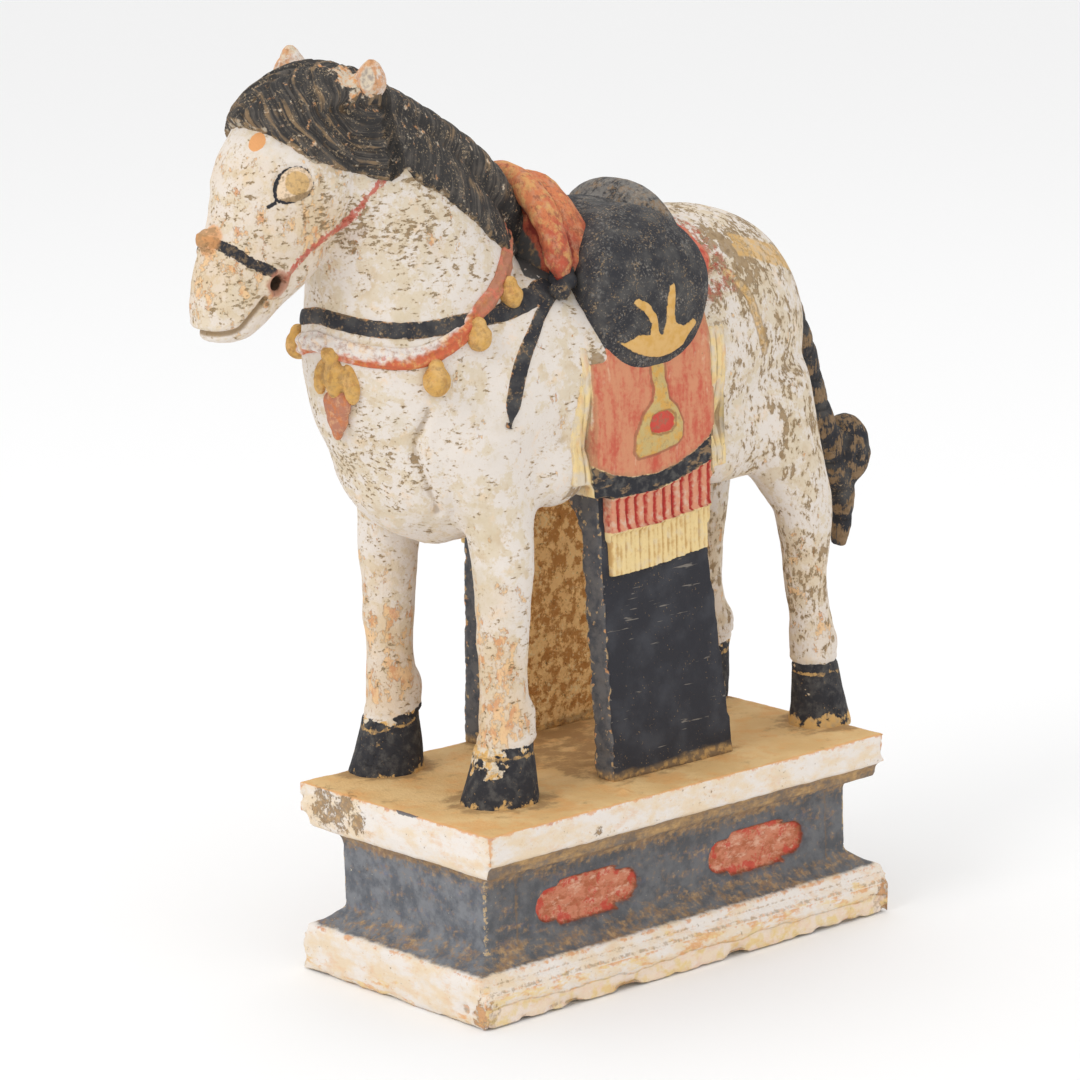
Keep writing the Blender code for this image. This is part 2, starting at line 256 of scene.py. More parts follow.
def spread(values, edges, rounds):
    count = len(values)
    ends = np.concatenate([edges[:, 0], edges[:, 1]])
    others = np.concatenate([edges[:, 1], edges[:, 0]])
    degree = np.maximum(np.bincount(ends, minlength=count), 1)
    for _ in range(rounds):
        if values.ndim == 1:
            values = 0.5 * values + 0.5 * np.bincount(ends, values[others], count) / degree
        else:
            mean = [np.bincount(ends, values[others, k], count) / degree for k in range(3)]
            values = 0.5 * values + 0.5 * np.stack(mean, axis=1)
    return values


def keep(obj, name, values):
    made = obj.data.attributes.new(name, "FLOAT", "POINT")
    made.data.foreach_set("value", values.astype(np.float32))


def valuesOf(obj, name):
    found = np.empty(len(obj.data.vertices), np.float32)
    obj.data.attributes[name].data.foreach_get("value", found)
    return found


# how far each point stands in a dip (+) or on a ridge (-), in millimetres, fine and broad
def keepRelief(obj):
    points, normals, edges = pointsOf(obj), normalsOf(obj), edgesOf(obj)
    for name, rounds in (("fineDip", 4), ("broadDip", 30)):
        dip = ((spread(points, edges, rounds) - points) * normals).sum(axis=1)
        keep(obj, name, spread(dip, edges, 2))


def shadeSmooth(obj):
    only(obj)
    bpy.ops.object.shade_smooth()


# a finished piece goes from its millimetres to its place in the frame
def settle(obj, material, zero=horseZero):
    shadeSmooth(obj)
    obj.scale = (mm, mm, mm)
    obj.location = zero
    applyPlace()
    obj.data.materials.clear()
    obj.data.materials.append(material)
    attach(obj, "root")
    print("settled", obj.name, len(obj.data.polygons), "faces")


# the horse's body: trunk, neck, head, legs and hooves in one clay form

horseForm = {
    "torso": (
        (0, -124, 181, 7, 11), (0, -119.5, 181, 15, 22), (0, -107.5, 177.5, 25.5, 32),
        (0, -88.5, 170, 36, 45.5), (0, -67, 160, 45, 60), (0, -42, 163, 48, 53), (0, -15, 163, 49.5, 50),
        (0, 20, 163.5, 49.5, 50.5), (0, 55, 168, 48.5, 55), (0, 80, 166.5, 43.5, 51.5),
        (0, 96.5, 163, 37, 44), (0, 109.5, 160.5, 28, 34.5), (0, 117.5, 159, 18, 24),
        (0, 121.5, 158, 8, 11),
    ),
    "neck": (
        (0, -64, 140, 24, 30), (0, -69, 157, 39, 45), (0, -74, 176, 40, 50), (0, -76.5, 192, 37.5, 50),
        (0, -80, 210, 34, 46.5), (0, -88, 230, 30, 40), (0, -99, 248, 27, 33), (0, -110, 264, 24.5, 27),
        (0, -120, 278, 20, 17), (0, -126, 285, 12, 9),
    ),
    "head": (
        (0, -120, 285, 8, 8), (0, -123, 280, 17, 17), (0, -128, 272, 22, 24), (0, -135, 259, 24, 28),
        (0, -142, 246, 23.5, 28), (0, -149.5, 232.5, 20, 25.5), (0, -159.5, 220.5, 17, 20.5),
        (0, -165, 212.5, 16, 17.5), (0, -169, 205.5, 14.5, 14.5), (0, -171.5, 199.5, 11.5, 10.5),
        (0, -172.5, 195.5, 6, 5),
    ),
    "frontLeg": (
        (30, -68, 150, 17, 27), (32, -65, 125, 14.5, 19), (34.5, -64.5, 108, 12.6, 14.5),
        (36, -65, 95, 12.3, 13), (36, -65.5, 82, 11.3, 11.7), (36, -66, 65, 10.2, 10.5),
        (36, -66.5, 47, 9.6, 9.8), (36, -66, 34, 10.7, 11.2), (36, -65.5, 28, 11.2, 12),
        (36, -67, 22, 10.6, 11.2),
    ),
    "frontHoof": ((36, -67.5, 24, 11.3, 11.6), (36, -68.5, 12, 13.2, 13.8), (36, -70.5, -1.5, 15.6, 16.6)),
    "rearLeg": (
        (27, 80, 150, 20, 27.5), (33, 86.3, 126, 17, 21.2), (37, 92.4, 108, 14, 15.9),
        (39, 96, 97, 12.4, 13.7), (40, 96.5, 88, 11.2, 12.2), (40, 97, 77, 10, 10.3),
        (40, 96.5, 64, 8.8, 8.9), (40, 98, 53, 8.6, 8.7), (40, 99.6, 42, 9.3, 9.4),
        (40, 100.2, 33, 9.5, 9.7), (40, 100.4, 26, 8.8, 9),
    ),
    "rearHoof": ((40, 101, 28, 9.2, 9.6), (40, 103, 10, 11.2, 11.8), (40, 104, -1.5, 13.2, 14.4)),
    "flank": ((33, 58, 132), (13, 34, 23)),
    # the right hind leg stands nearer the middle and further back
    "rightRearLeg": (
        (24, 82, 150, 20, 27.5), (27, 88, 126, 17, 22), (28, 95, 108, 14, 18), (28, 99.5, 95, 12.4, 15.2),
        (28, 100.5, 84, 11.4, 12.2), (28, 100, 72, 10, 10), (28, 100, 58, 8.8, 9.2),
        (28, 101, 47, 8.4, 8.6), (28, 102.6, 37, 8.6, 9.2), (28, 104, 30, 9.5, 10.6),
        (28, 103, 22, 8.8, 9.4),
    ),
    "rightRearHoof": ((28, 103, 25, 9.2, 9.2), (28, 101, 10, 10.6, 10), (28, 98, -1.5, 12, 11)),
    "noseKnob": ((0, -175.5, 235.3), (4.8, 4.2, 4.6)),
    "skirt": ((36.5, -34, 146), (10.5, 9, 30)),  # clay luted on where the hangings start
    "elbow": ((34, -40, 131.5), (13.8, 21, 17)),
    "knees": ((-76.5, 66), (-77, 62)),  # (y, z)
    "tufts": ((-56.5, 36), (110.5, 36)),  # behind the fetlocks
    "voxel": 1.4,
}


def formBody():
    parts = [pullTube(horseForm[name]) for name in ("torso", "neck", "head")]
    for side in (1, -1):
        parts.append(pullTube(horseForm["frontLeg"], side))
        parts.append(pullTube(horseForm["frontHoof"], side, level=True))
        parts.append(lump(*horseForm["flank"], side))
        leg, hoof = ("rearLeg", "rearHoof") if side > 0 else ("rightRearLeg", "rightRearHoof")
        parts.append(pullTube(horseForm[leg], side))
        parts.append(pullTube(horseForm[hoof], side, level=True))
    parts.append(lump(*horseForm["noseKnob"]))
    parts += [lump(*horseForm[name], side) for name in ("skirt", "elbow") for side in (1, -1)]
    return fuse("horse_body", parts, horseForm["voxel"], 5)


def treeOf(obj):
    return BVHTree.FromObject(obj, bpy.context.evaluated_depsgraph_get())


body = formBody()
print("body fused", len(body.data.polygons))

# a bare trunk, only to lead the straps round the chest, because the muzzle hangs in front of it
bareTrunk = fuse("bare_trunk", [pullTube(horseForm["torso"]), pullTube(horseForm["neck"])], 2.0, 5)
trunkTree = treeOf(bareTrunk)
bpy.data.objects.remove(bareTrunk)

# routes and spots in the side view (y, z), the same on both sides
face = {
    "eye": (-149.2, 255),
    "eyeOutline": (
        (-156.3, 249.8), (-157, 252.8), (-156.4, 256), (-154.6, 259), (-151.5, 261.3), (-147.2, 262),
        (-143.9, 260.1), (-142.4, 256.5), (-143, 253), (-145.3, 250.2), (-149.7, 248.6), (-154.3, 248.8),
    ),
    "eyeCorner": ((-156.2, 250.1), (-158.8, 247.4)),
    "iris": (-149, 255.8),
    "irisRadius": 4.7,
    "bridle": (
        (-105, 258.5), (-111, 252.2), (-116.4, 246.9), (-120, 240.5), (-124.5, 236.4), (-133.3, 234.2),
        (-141.4, 229.8), (-148.8, 224), (-152.5, 219.8),
    ),
    "noseband": ((-180, 236), (-174.9, 233.8), (-169.4, 228.6), (-165.3, 225.8), (-159.6, 223)),
    "nosebandHalf": 2.1,
    "bit": (-156.2, 217.8),
    "mouth": ((-182, 199.6), (-175.6, 200.1), (-171.6, 201.7), (-168, 206.2), (-161.8, 212.3)),
    "spot": (9.2, -157.4, 271.5),
    "brow": ((-162, 256), (-159, 263), (-153, 266.5), (-146, 267.5), (-138, 264)),
    "cheekHollow": ((-163, 250), (-160, 244), (-152, 241)),
    "jaw": (-129, 246),
    "jawCrease": ((-101, 252), (-109, 243), (-117.5, 235), (-125, 230.5), (-132, 226)),
    "nostril": (9.5, -179.5, 214.5),
}
shoulderCrease = (
    (-98, 162), (-98.6, 158), (-100.2, 153), (-101, 147.6), (-99.5, 140), (-96.3, 133.2), (-93.4, 127),
    (-88.5, 119),
)


def sculptHead():
    only(body)
    points = pointsOf(body)
    nearHead = (points[:, 1] < -100) & (points[:, 2] > 190)
    select = nearHead & ((points[:, 1] < -112) | (points[:, 2] > 236))
    body.data.vertices.foreach_set("select", select)
    bpy.ops.object.mode_set(mode="EDIT")
    bpy.ops.mesh.select_mode(type="VERT")
    bpy.ops.mesh.subdivide(number_cuts=1, smoothness=0)
    bpy.ops.object.mode_set(mode="OBJECT")
    points = pointsOf(body)
    side = points[:, 1:]
    across = np.abs(points[:, 0])
    onHead = ease((-108 - points[:, 1]) / 8) * ease((points[:, 2] - 188) / 6)
    cheekSide = ease((across - 6) / 6) * onHead
    fromEye = lengthOf((side - face["eye"]) * (0.8, 1.0))
    outline = insideOf(side, smoothLine([*face["eyeOutline"], face["eyeOutline"][0]]))
    amount = 1.3 * ease(1 - fromEye / 8.5) * cheekSide  # the eyeball
    amount -= 0.6 * nearLine(outline, 1.4) * cheekSide  # the lid's line
    amount += 0.4 * nearLine(outline + 1.7, 1.7) * cheekSide  # the lid
    brow = toRoute(side, smoothLine(face["brow"]))
    amount += 0.8 * ease(1 - brow / 6) * cheekSide
    amount -= 0.9 * ease(1 - toRoute(side, face["cheekHollow"]) / 5.5) * cheekSide
    amount += 1.4 * ease(1 - lengthOf((side - face["jaw"]) * (1, 0.9)) / 19) * cheekSide
    crease = toRoute(side, smoothLine(face["jawCrease"]))
    amount -= 1.5 * ease(1 - crease / 4.5) * cheekSide
    strap = toRoute(side, smoothLine(face["bridle"]))
    amount += 0.55 * ease((2.2 - strap) / 1.0) * cheekSide
    band = toRoute(side, smoothLine(face["noseband"]))
    belowBrow = ease((250 - points[:, 2]) / 8)
    amount += 0.7 * ease((face["nosebandHalf"] + 0.6 - band) / 1.0) * onHead * belowBrow
    fromBit = lengthOf(side - face["bit"])
    amount += 1.2 * nearLine(fromBit - 4.8, 2.4) * cheekSide
    amount -= 4.2 * ease(1.25 - fromBit / 3.4) * cheekSide
    lips = toRoute(side, smoothLine(face["mouth"]))
    amount -= 1.9 * ease(1 - lips / 1.9) * onHead
    amount += 0.5 * nearLine(lips - 3.2, 2.2) * onHead
    amount -= 0.9 * dab(np.stack([across, points[:, 1], points[:, 2]], 1), face["nostril"], 4.5)
    push(body, amount)


def sculptTrunk():
    points = pointsOf(body)
    side = points[:, 1:]
    across = np.abs(points[:, 0])
    outer = ease((across - 14) / 10)
    crease = toRoute(side, smoothLine(shoulderCrease))
    route = np.array(smoothLine(shoulderCrease))
    behind = side[:, 0] - np.interp(side[:, 1], route[::-1, 1], route[::-1, 0])
    inSpan = ease((side[:, 1] - 108) / 16) * ease((170 - side[:, 1]) / 24)
    amount = -1.9 * ease(1 - crease / 3.2) * outer
    amount += 1.3 * ease((behind + 1.0) / 2.4) * ease(1 - behind / 30) * inSpan * outer
    for name, lift in (("knees", 0.5), ("tufts", 1.4)):
        for spot in horseForm[name]:
            amount += lift * ease(1 - lengthOf(side - spot) / 8)
    # a step where each hoof starts
    frontCoronet, rearCoronet = 23.5, 27.5
    coronet = np.where(points[:, 1] < 0, frontCoronet, rearCoronet)
    amount += 0.5 * nearLine(points[:, 2] - coronet - 1.8, 1.8)
    amount -= 0.5 * nearLine(points[:, 2] - coronet, 1.2)
    amount += 0.45 * unevenness(points, 17, 2) + 0.16 * unevenness(points, 5, 2, 3.1)
    push(body, amount)
    # no seams where the thighs and shoulders grow out of the trunk
    points = pointsOf(body)
    _, y, z = points.T
    thigh = ease((y - 48) / 12) * ease((z - 96) / 14)
    shoulder = ease((-38 - y) / 10) * ease((z - 104) / 10) * ease((200 - z) / 14) * ease((crease - 4) / 4)
    even = spread(points, edgesOf(body), 60)
    moveTo(body, points + (even - points) * (0.85 * (thigh + shoulder))[:, None])


sculptHead()
sculptTrunk()
bodyTree = treeOf(body)
print("body sculpted", len(body.data.polygons))

# ears

ears = {
    "left": (
        (10, -111, 276, 4, 4.6), (12.5, -110.8, 281, 5.6, 6), (15.6, -110.5, 285, 7, 7.4),
        (18.4, -110.2, 288.5, 7, 7.4), (19.6, -109.9, 292, 6, 6.3), (20.1, -109.7, 295, 4.5, 4.8),
        (20.3, -109.5, 297.4, 2.9, 3), (20.4, -109.4, 299, 1.1, 1.1),
    ),
    "right": (
        (-10, -118.6, 280, 4, 4.6), (-12.5, -118.4, 285, 5.6, 6), (-15.6, -118.1, 289, 7.2, 7.8),
        (-18.4, -117.8, 292.5, 7.2, 7.8), (-19.6, -117.5, 296, 6.1, 6.6), (-20.1, -117.3, 299, 4.3, 4.4),
        (-20.3, -117.1, 301.2, 2.6, 2.7), (-20.4, -117, 302.6, 1.1, 1.1),
    ),
    "hollowDepth": 2.3,
}


def formEar(name, stations):
    ear = fuse("ear_" + name, [pullTube(stations, segments=24)], 0.6, 4)
    points = pointsOf(ear)
    middle = np.array(stations[4][:3])
    out = Vector((0.62 if name == "left" else -0.62, -0.72, 0.1)).normalized()
    facing = ease((normalsOf(ear) @ np.array(out) - 0.1) / 0.5)
    across = np.cross(np.array(out), (0, 0, 1))
    local = points - middle
    wide, high = local @ across, local[:, 2]
    opening = 1 - np.sqrt((wide / 3.3) ** 2 + (high / 5.2) ** 2)
    keep(ear, "inside", np.minimum(opening, facing * 2 - 0.6))
    push(ear, -ears["hollowDepth"] * ease(opening * 1.6) * facing + 0.15 * unevenness(points, 3))
    keepRelief(ear)
    return ear


earPieces = [formEar(name, ears[name]) for name in ("left", "right")]

# hair: forelock and mane, a shell over head and neck that sinks into them beyond its hem

hair = {
    "crest": (
        (0, -156, 268.5, 10, 3), (0, -150, 275.5, 14, 6.5), (0, -141, 281, 18, 8.5),
        (0, -128, 286, 21.5, 9), (0, -111, 285.5, 22, 9.5), (0, -90, 276, 19, 9), (0, -69, 263, 17, 10),
        (0, -50, 247, 16, 12), (0, -35, 231, 15, 10), (0, -27, 216, 11, 7),
    ),
    "thickness": 2.0,
    "hem": (
        (-161, 281), (-157.5, 277.6), (-153, 273.6), (-145.6, 265.6), (-138.5, 262.2), (-131.5, 259.6),
        (-124.5, 257.4), (-118, 255.6), (-110, 252.6), (-105, 252.8), (-101, 255.6), (-98.4, 256.8),
        (-95, 252), (-90, 248.8), (-84, 245.8), (-74, 238.8), (-64.5, 231.6), (-54.6, 223), (-45, 217),
        (-30, 213),
    ),
    "sink": 5.4,
    "earRoot": (19, -111, 284),  # the forelock's locks lie in rings round each ear
    "tuft": ((22, -112, 280), 11),  # middle and reach of each swelling
    "quiff": ((2, -155, 287), 27),
    "crown": ((0, -128, 300), 28),
    "lockWidth": 5.6,
    "lockDepth": 2.3,
}


def hemDistance(points):
    hem = np.array(smoothLine(hair["hem"], 4))
    order = np.argsort(hem[:, 0])
    level = np.interp(points[:, 1], hem[order, 0], hem[order, 1])
    above = (points[:, 2] > level) & (points[:, 1] > -161)
    return np.where(above, 1, -1) * toRoute(points[:, 1:], hem)


def formHair():
    grow = hair["thickness"]
    parts = [
        pullTube(hair["crest"]),
        pullTube(horseForm["head"][:5], grow=grow),
        pullTube(horseForm["neck"][2:], grow=grow),
    ]
    made = fuse("mane_and_forelock", parts, 1.0, 5)
    points = pointsOf(made)
    mirrored = points.copy()
    mirrored[:, 0] = np.abs(points[:, 0])
    away = mirrored - hair["earRoot"]
    ring = lengthOf(away * (1, 0.9, 1.05))
    ring *= 1 + 0.75 * ease((away[:, 1] - 1) / 16)  # the rings crowd together behind the ear
    ring += 1.6 * unevenness(points, 13, 2, 1.7)
    turn = ring / hair["lockWidth"]
    rise = turn - np.floor(turn)
    lock = rise**1.3 * ease((1 - rise) / 0.16) - 0.35
    lockFine = np.abs(np.sin(math.pi * turn * 3.2)) ** 0.7 - 0.6
    onFront = ease((-100 - points[:, 1]) / 9)
    down = hemDistance(points)
    back = points[:, 1] * 0.75 + points[:, 2] * -0.35 + 3.2 * unevenness(points, 20, 2, 4.4)
    maneLock = np.abs(np.sin(math.pi * back / 8.5)) ** 0.6 - 0.6
    amount = hair["lockDepth"] * (lock + 0.2 * lockFine) * onFront + 0.75 * maneLock * (1 - onFront)
    part = nearLine(points[:, 0] - 1.5, 2.6) * onFront  # the parting
    amount -= 1.5 * part * ease((points[:, 2] - 272) / 5)
    ragged = down + 0.7 * unevenness(points, 4, 2, 8.2)
    sunk = ease((0.9 - ragged) / 2.6)
    tuft = dab(mirrored, *hair["tuft"])
    quiff = dab(points, *hair["quiff"])
    crown = dab(points, *hair["crown"])
    amount += 1.8 * tuft + 4.4 * quiff + 2.6 * crown
    amount = amount * (1 - sunk) - hair["sink"] * sunk + 0.2 * unevenness(points, 3, 2, 5.5) * (1 - sunk)
    push(made, amount)
    # what lies well below the hem is drawn in towards the middle of the neck and head
    cores = np.array([row[:3] for name in ("neck", "head") for row in finer(horseForm[name][:5], 6)])
    drawn = pointsOf(made)
    nearest = cores[np.argmin([lengthOf(drawn - core) for core in cores], axis=0)]
    moveTo(made, drawn + (nearest - drawn) * (0.5 * ease((-down - 3.5) / 5))[:, None])
    useModifier(made, "SMOOTH", factor=0.35, iterations=1)
    keepRelief(made)
    keep(made, "hem", down)
    keep(made, "nearEar", dab(mirrored, (17, -117, 291), 12))
    keep(made, "front", onFront)
    keep(made, "lock", np.where(onFront > 0.4, rise, maneLock + 0.6))
    keep(made, "flow", turn * onFront + back / 9 * (1 - onFront))
    return made


hairPiece = formHair()
print("hair sculpted", len(hairPiece.data.polygons))

# tail, tied up in a knot

tailForm = {
    "tail": (
        (0, 104, 200, 4, 5), (0, 111.8, 189, 7, 8.4), (0, 119.3, 177, 9, 9), (0, 126.4, 163, 9.2, 8.6),
        (0, 132.6, 148, 8.8, 8.2), (0, 138, 130, 8.4, 8), (0, 145, 112, 8.6, 8.4), (0, 153, 96, 8, 8),
        (0, 157, 82, 5.8, 6), (0, 157, 70, 4.2, 4.4), (0, 155, 62, 2.8, 3),
    ),
    "knot": ((0, 160, 103), (10, 11, 16)),
}


def formTail():
    made = fuse("tail", [pullTube(tailForm["tail"]), lump(*tailForm["knot"])], 0.9, 5)
    points = pointsOf(made)
    middle, radii = tailForm["knot"]
    local = points - middle
    turn = np.arctan2(local[:, 2], local[:, 1])
    out = lengthOf(local[:, 1:] * (1, 0.75))
    coil = np.abs(np.sin(out * 0.46 - turn * 0.5 + 0.8)) ** 0.5 - 0.65
    onKnot = ease(1.5 - lengthOf(local / radii))
    twist = points[:, 2] * 0.16 + np.arctan2(points[:, 0], points[:, 1] - 140) * 1.0
    strand = np.abs(np.sin(twist * 1.3 + unevenness(points, 18, 2) * 1.5)) ** 0.6 - 0.6
    amount = 2.8 * coil * onKnot + 1.0 * strand * (1 - onKnot)
    push(made, amount + 0.3 * unevenness(points, 5, 3, 2.0))
    useModifier(made, "SMOOTH", factor=0.4, iterations=1)
    keepRelief(made)
    keep(made, "coil", coil * onKnot + strand * (1 - onKnot))
    return made


tailPiece = formTail()

# saddle: a padded seat that runs down into a round flap on each side, and a roll behind it

saddleForm = {
    "seat": ((0, 9, 204), (36, 32, 27.5)),
    "flap": {
        "middle": (38, 8.5, 198.5), "thick": 16, "long": 32, "low": 36.5, "high": 32,
        "square": 0.62, "lean": 14, "corner": 0.125,
    },
    "roll": ((0, 33.5, 213.5), (33, 14, 23.5)),
    "trident": (
        (-15.5, 180.5), (-11, 179), (-5, 181.5), (0.5, 181), (1.2, 185.6), (-2.2, 190.5), (-8.2, 194.8),
        (-5.5, 196.6), (0.2, 193.5), (3.8, 188.5), (5.4, 180.5), (7.2, 180.2), (9.2, 186), (9, 192),
        (11.4, 199.5), (13.6, 200.8), (14, 195), (13.2, 188), (14.6, 183.8), (19, 182.4), (25.2, 184.6),
        (27, 182.4), (22.5, 178.2), (19.5, 174.6), (13, 171.8), (6, 171.2), (-1, 172.4), (-8, 175.5),
    ),
}


# a thick round flap: flat outside with a rounded rim, leaning in at its top
def flapLump(side):
    form = saddleForm["flap"]
    made = lump((0, 0, 0), (1, 1, 1))
    unit = pointsOf(made)
    out = np.maximum(np.hypot(unit[:, 1], unit[:, 2]), 1e-6)
    swell = out ** form["square"] / out
    x = np.sign(unit[:, 0]) * np.abs(unit[:, 0]) ** form["square"]
    y, z = unit[:, 1] * swell, unit[:, 2] * swell
    corner = 1 + form["corner"] * ease(1 - np.hypot(unit[:, 1] / out + 0.62, unit[:, 2] / out + 0.78) / 0.7)
    x = form["thick"] * x - form["lean"] * np.maximum(z, 0) ** 2
    z = np.where(z < 0, form["low"], form["high"]) * z
    placed = np.stack([x, form["long"] * y * corner, z * corner], axis=1) + np.array(form["middle"], float)
    placed[:, 0] *= side
    moveTo(made, placed)
    facesOut(made)
    return made


def formSaddle():
    soft = [lump(*saddleForm["seat"])]
    soft += [flapLump(side) for side in (1, -1)]
    base = fuse("saddle", soft, 1.5, 20)
    roll = lump(*saddleForm["roll"], turn=(14, 0, 0))
    made = fuse("saddle", [base, roll], 1.15, 3)
    points = pointsOf(made)
    across = np.abs(points[:, 0])
    trident = insideOf(points[:, 1:], saddleForm["trident"])
    onFlap = ease((across - 42) / 4)
    amount = 0.7 * ease((trident + 0.6) / 1.2) * onFlap
    amount += 0.35 * unevenness(points, 15, 2) + 0.12 * unevenness(points, 4, 2, 2.2)
    push(made, amount)
    keepRelief(made)
    keep(made, "trident", np.where(across > 38, trident, -20))
    fromRoll = lengthOf((points - (0, 33.5, 216)) / (35, 15, 24))
    keep(made, "roll", 1 - fromRoll + (points[:, 2] - 226) / 40)
    return made


saddlePiece = formSaddle()

# saddle cloths before and behind the seat

clothForm = {
    "front": ((0, -17, 199), (38, 18, 46)),
    "rim": {"middle": (0, -29, 199), "radii": (35, 43.5), "thick": 5.4},
    "frontFloor": 203,
    "rear": ((0, 42, 184), (47.5, 23, 38)),
    "rearFloor": 196,
}


def formFrontCloth():
    rim = clothForm["rim"]
    nothingSelected()
    bpy.ops.mesh.primitive_torus_add(
        location=rim["middle"], rotation=(math.pi / 2, 0, 0), major_segments=64, minor_segments=16,
        major_radius=1, minor_radius=rim["thick"] / rim["radii"][0],
    )
    arch = bpy.context.object
    arch.scale = (rim["radii"][0], rim["radii"][1], rim["radii"][0])
    applyPlace()
    cloth = lump(*clothForm["front"])
    floor = clothForm["frontFloor"]
    for part in (arch, cloth):
        cutAway(part, block((-80, -80, 90), (80, 60, floor)))
    made = fuse("saddle_cloth_front", [arch, cloth], 1.1, 4)
    points = pointsOf(made)
    top = ease((points[:, 2] - 222) / 12)
    valley = nearLine(points[:, 1] + 17, 8) * ease((points[:, 2] - 206) / 10) * (1 - top)
    end = ease((clothForm["frontFloor"] + 9 - points[:, 2]) / 9)
    crest = nearLine(points[:, 1] + 22.5, 5)
    push(made, 1.8 * top * crest - 1.5 * valley + 1.1 * unevenness(points, 12, 3, 1.0) - 3.2 * end)
    points = pointsOf(made)
    x, y, z = points.T
    inner = 0.9 - np.hypot(x / rim["radii"][0], (z - rim["middle"][2]) / rim["radii"][1])
    keepRelief(made)
    keep(made, "inner", np.minimum(inner * 30, (rim["middle"][1] - 1 - y) * 1.5))
    keep(made, "top", ease((z - 220) / 14))
    return made


def formRearCloth():
    cloth = lump(*clothForm["rear"])
    cutAway(cloth, block((-80, -10, 90), (80, 90, clothForm["rearFloor"])))
    made = fuse("saddle_cloth_rear", [cloth], 1.2, 4)
    points = pointsOf(made)
    push(made, 0.6 * unevenness(points, 9, 3, 6.0) - 5 * ease((206 - points[:, 2]) / 10))
    keepRelief(made)
    keep(made, "fade", (points[:, 1] - 46) / 8)
    return made


frontClothPiece = formFrontCloth()
rearClothPiece = formRearCloth()
print("saddle and cloths done")

# the hanging on each flank: ribbed borders, red panel with a stirrup, black hem and two rows of fringe

hangingForm = {
    "frontBorder": ((-37, 124), (-27, 182), 49.0, 9),  # low and high corners (y, z), outer face x, depth
    "rearBorder": ((36.5, 121), (45, 184), 48.6, 9),
    "panel": ((-28, 118), (37.5, 190), 50.6, 13),
    "redFringe": ((-18.6, 99), (36, 124), 49.0, 9),
    "creamFringe": ((-17.6, 84), (35, 108), 47.6, 9),
    "panelFoot": (
        (-40, 133), (-28, 131), (-18, 126.4), (-8, 124.2), (5, 123.8), (16, 126), (26, 130), (34, 134.6),
        (38, 142), (46, 150),
    ),
    "hemFoot": ((-40, 115.6), (-24, 116.4), (5, 116.8), (20, 120), (35, 124.6), (46, 128)),
    "redFoot": ((-40, 101.6), (-22, 102.3), (6, 103), (35, 106.2), (46, 108)),
    "creamFoot": ((-40, 82.8), (-23, 83.6), (6, 85.4), (34, 88.8), (46, 90)),
    "faces": {"border": 48.7, "panel": 50.4, "hem": 49.6, "redFringe": 49.3, "creamFringe": 48.1},
    "panelEnds": (-27.6, 36.6),
    "redPleat": 4.9,
    "creamPleat": 2.5,
    "stirrup": (
        (3.9, 168), (10.8, 168), (10.9, 158), (11.6, 153.5), (16, 149.5), (18.9, 143), (18.6, 137),
        (16, 134.6), (5, 132.2), (-4.8, 131.4), (-6.8, 134), (-6.4, 140), (-2, 148.5), (3.2, 153.5),
        (4.2, 158),
    ),
    "stirrupHole": (
        (2.4, 147.4), (6, 148.8), (11.4, 148.8), (14.4, 146.6), (14.6, 142.4), (12.4, 140.2), (6, 139.8),
        (2, 141), (1.2, 144),
    ),
}


def levelAt(points, name):
    line = np.array(hangingForm[name], float)
    return np.interp(points[:, 1], line[:, 0], line[:, 1])


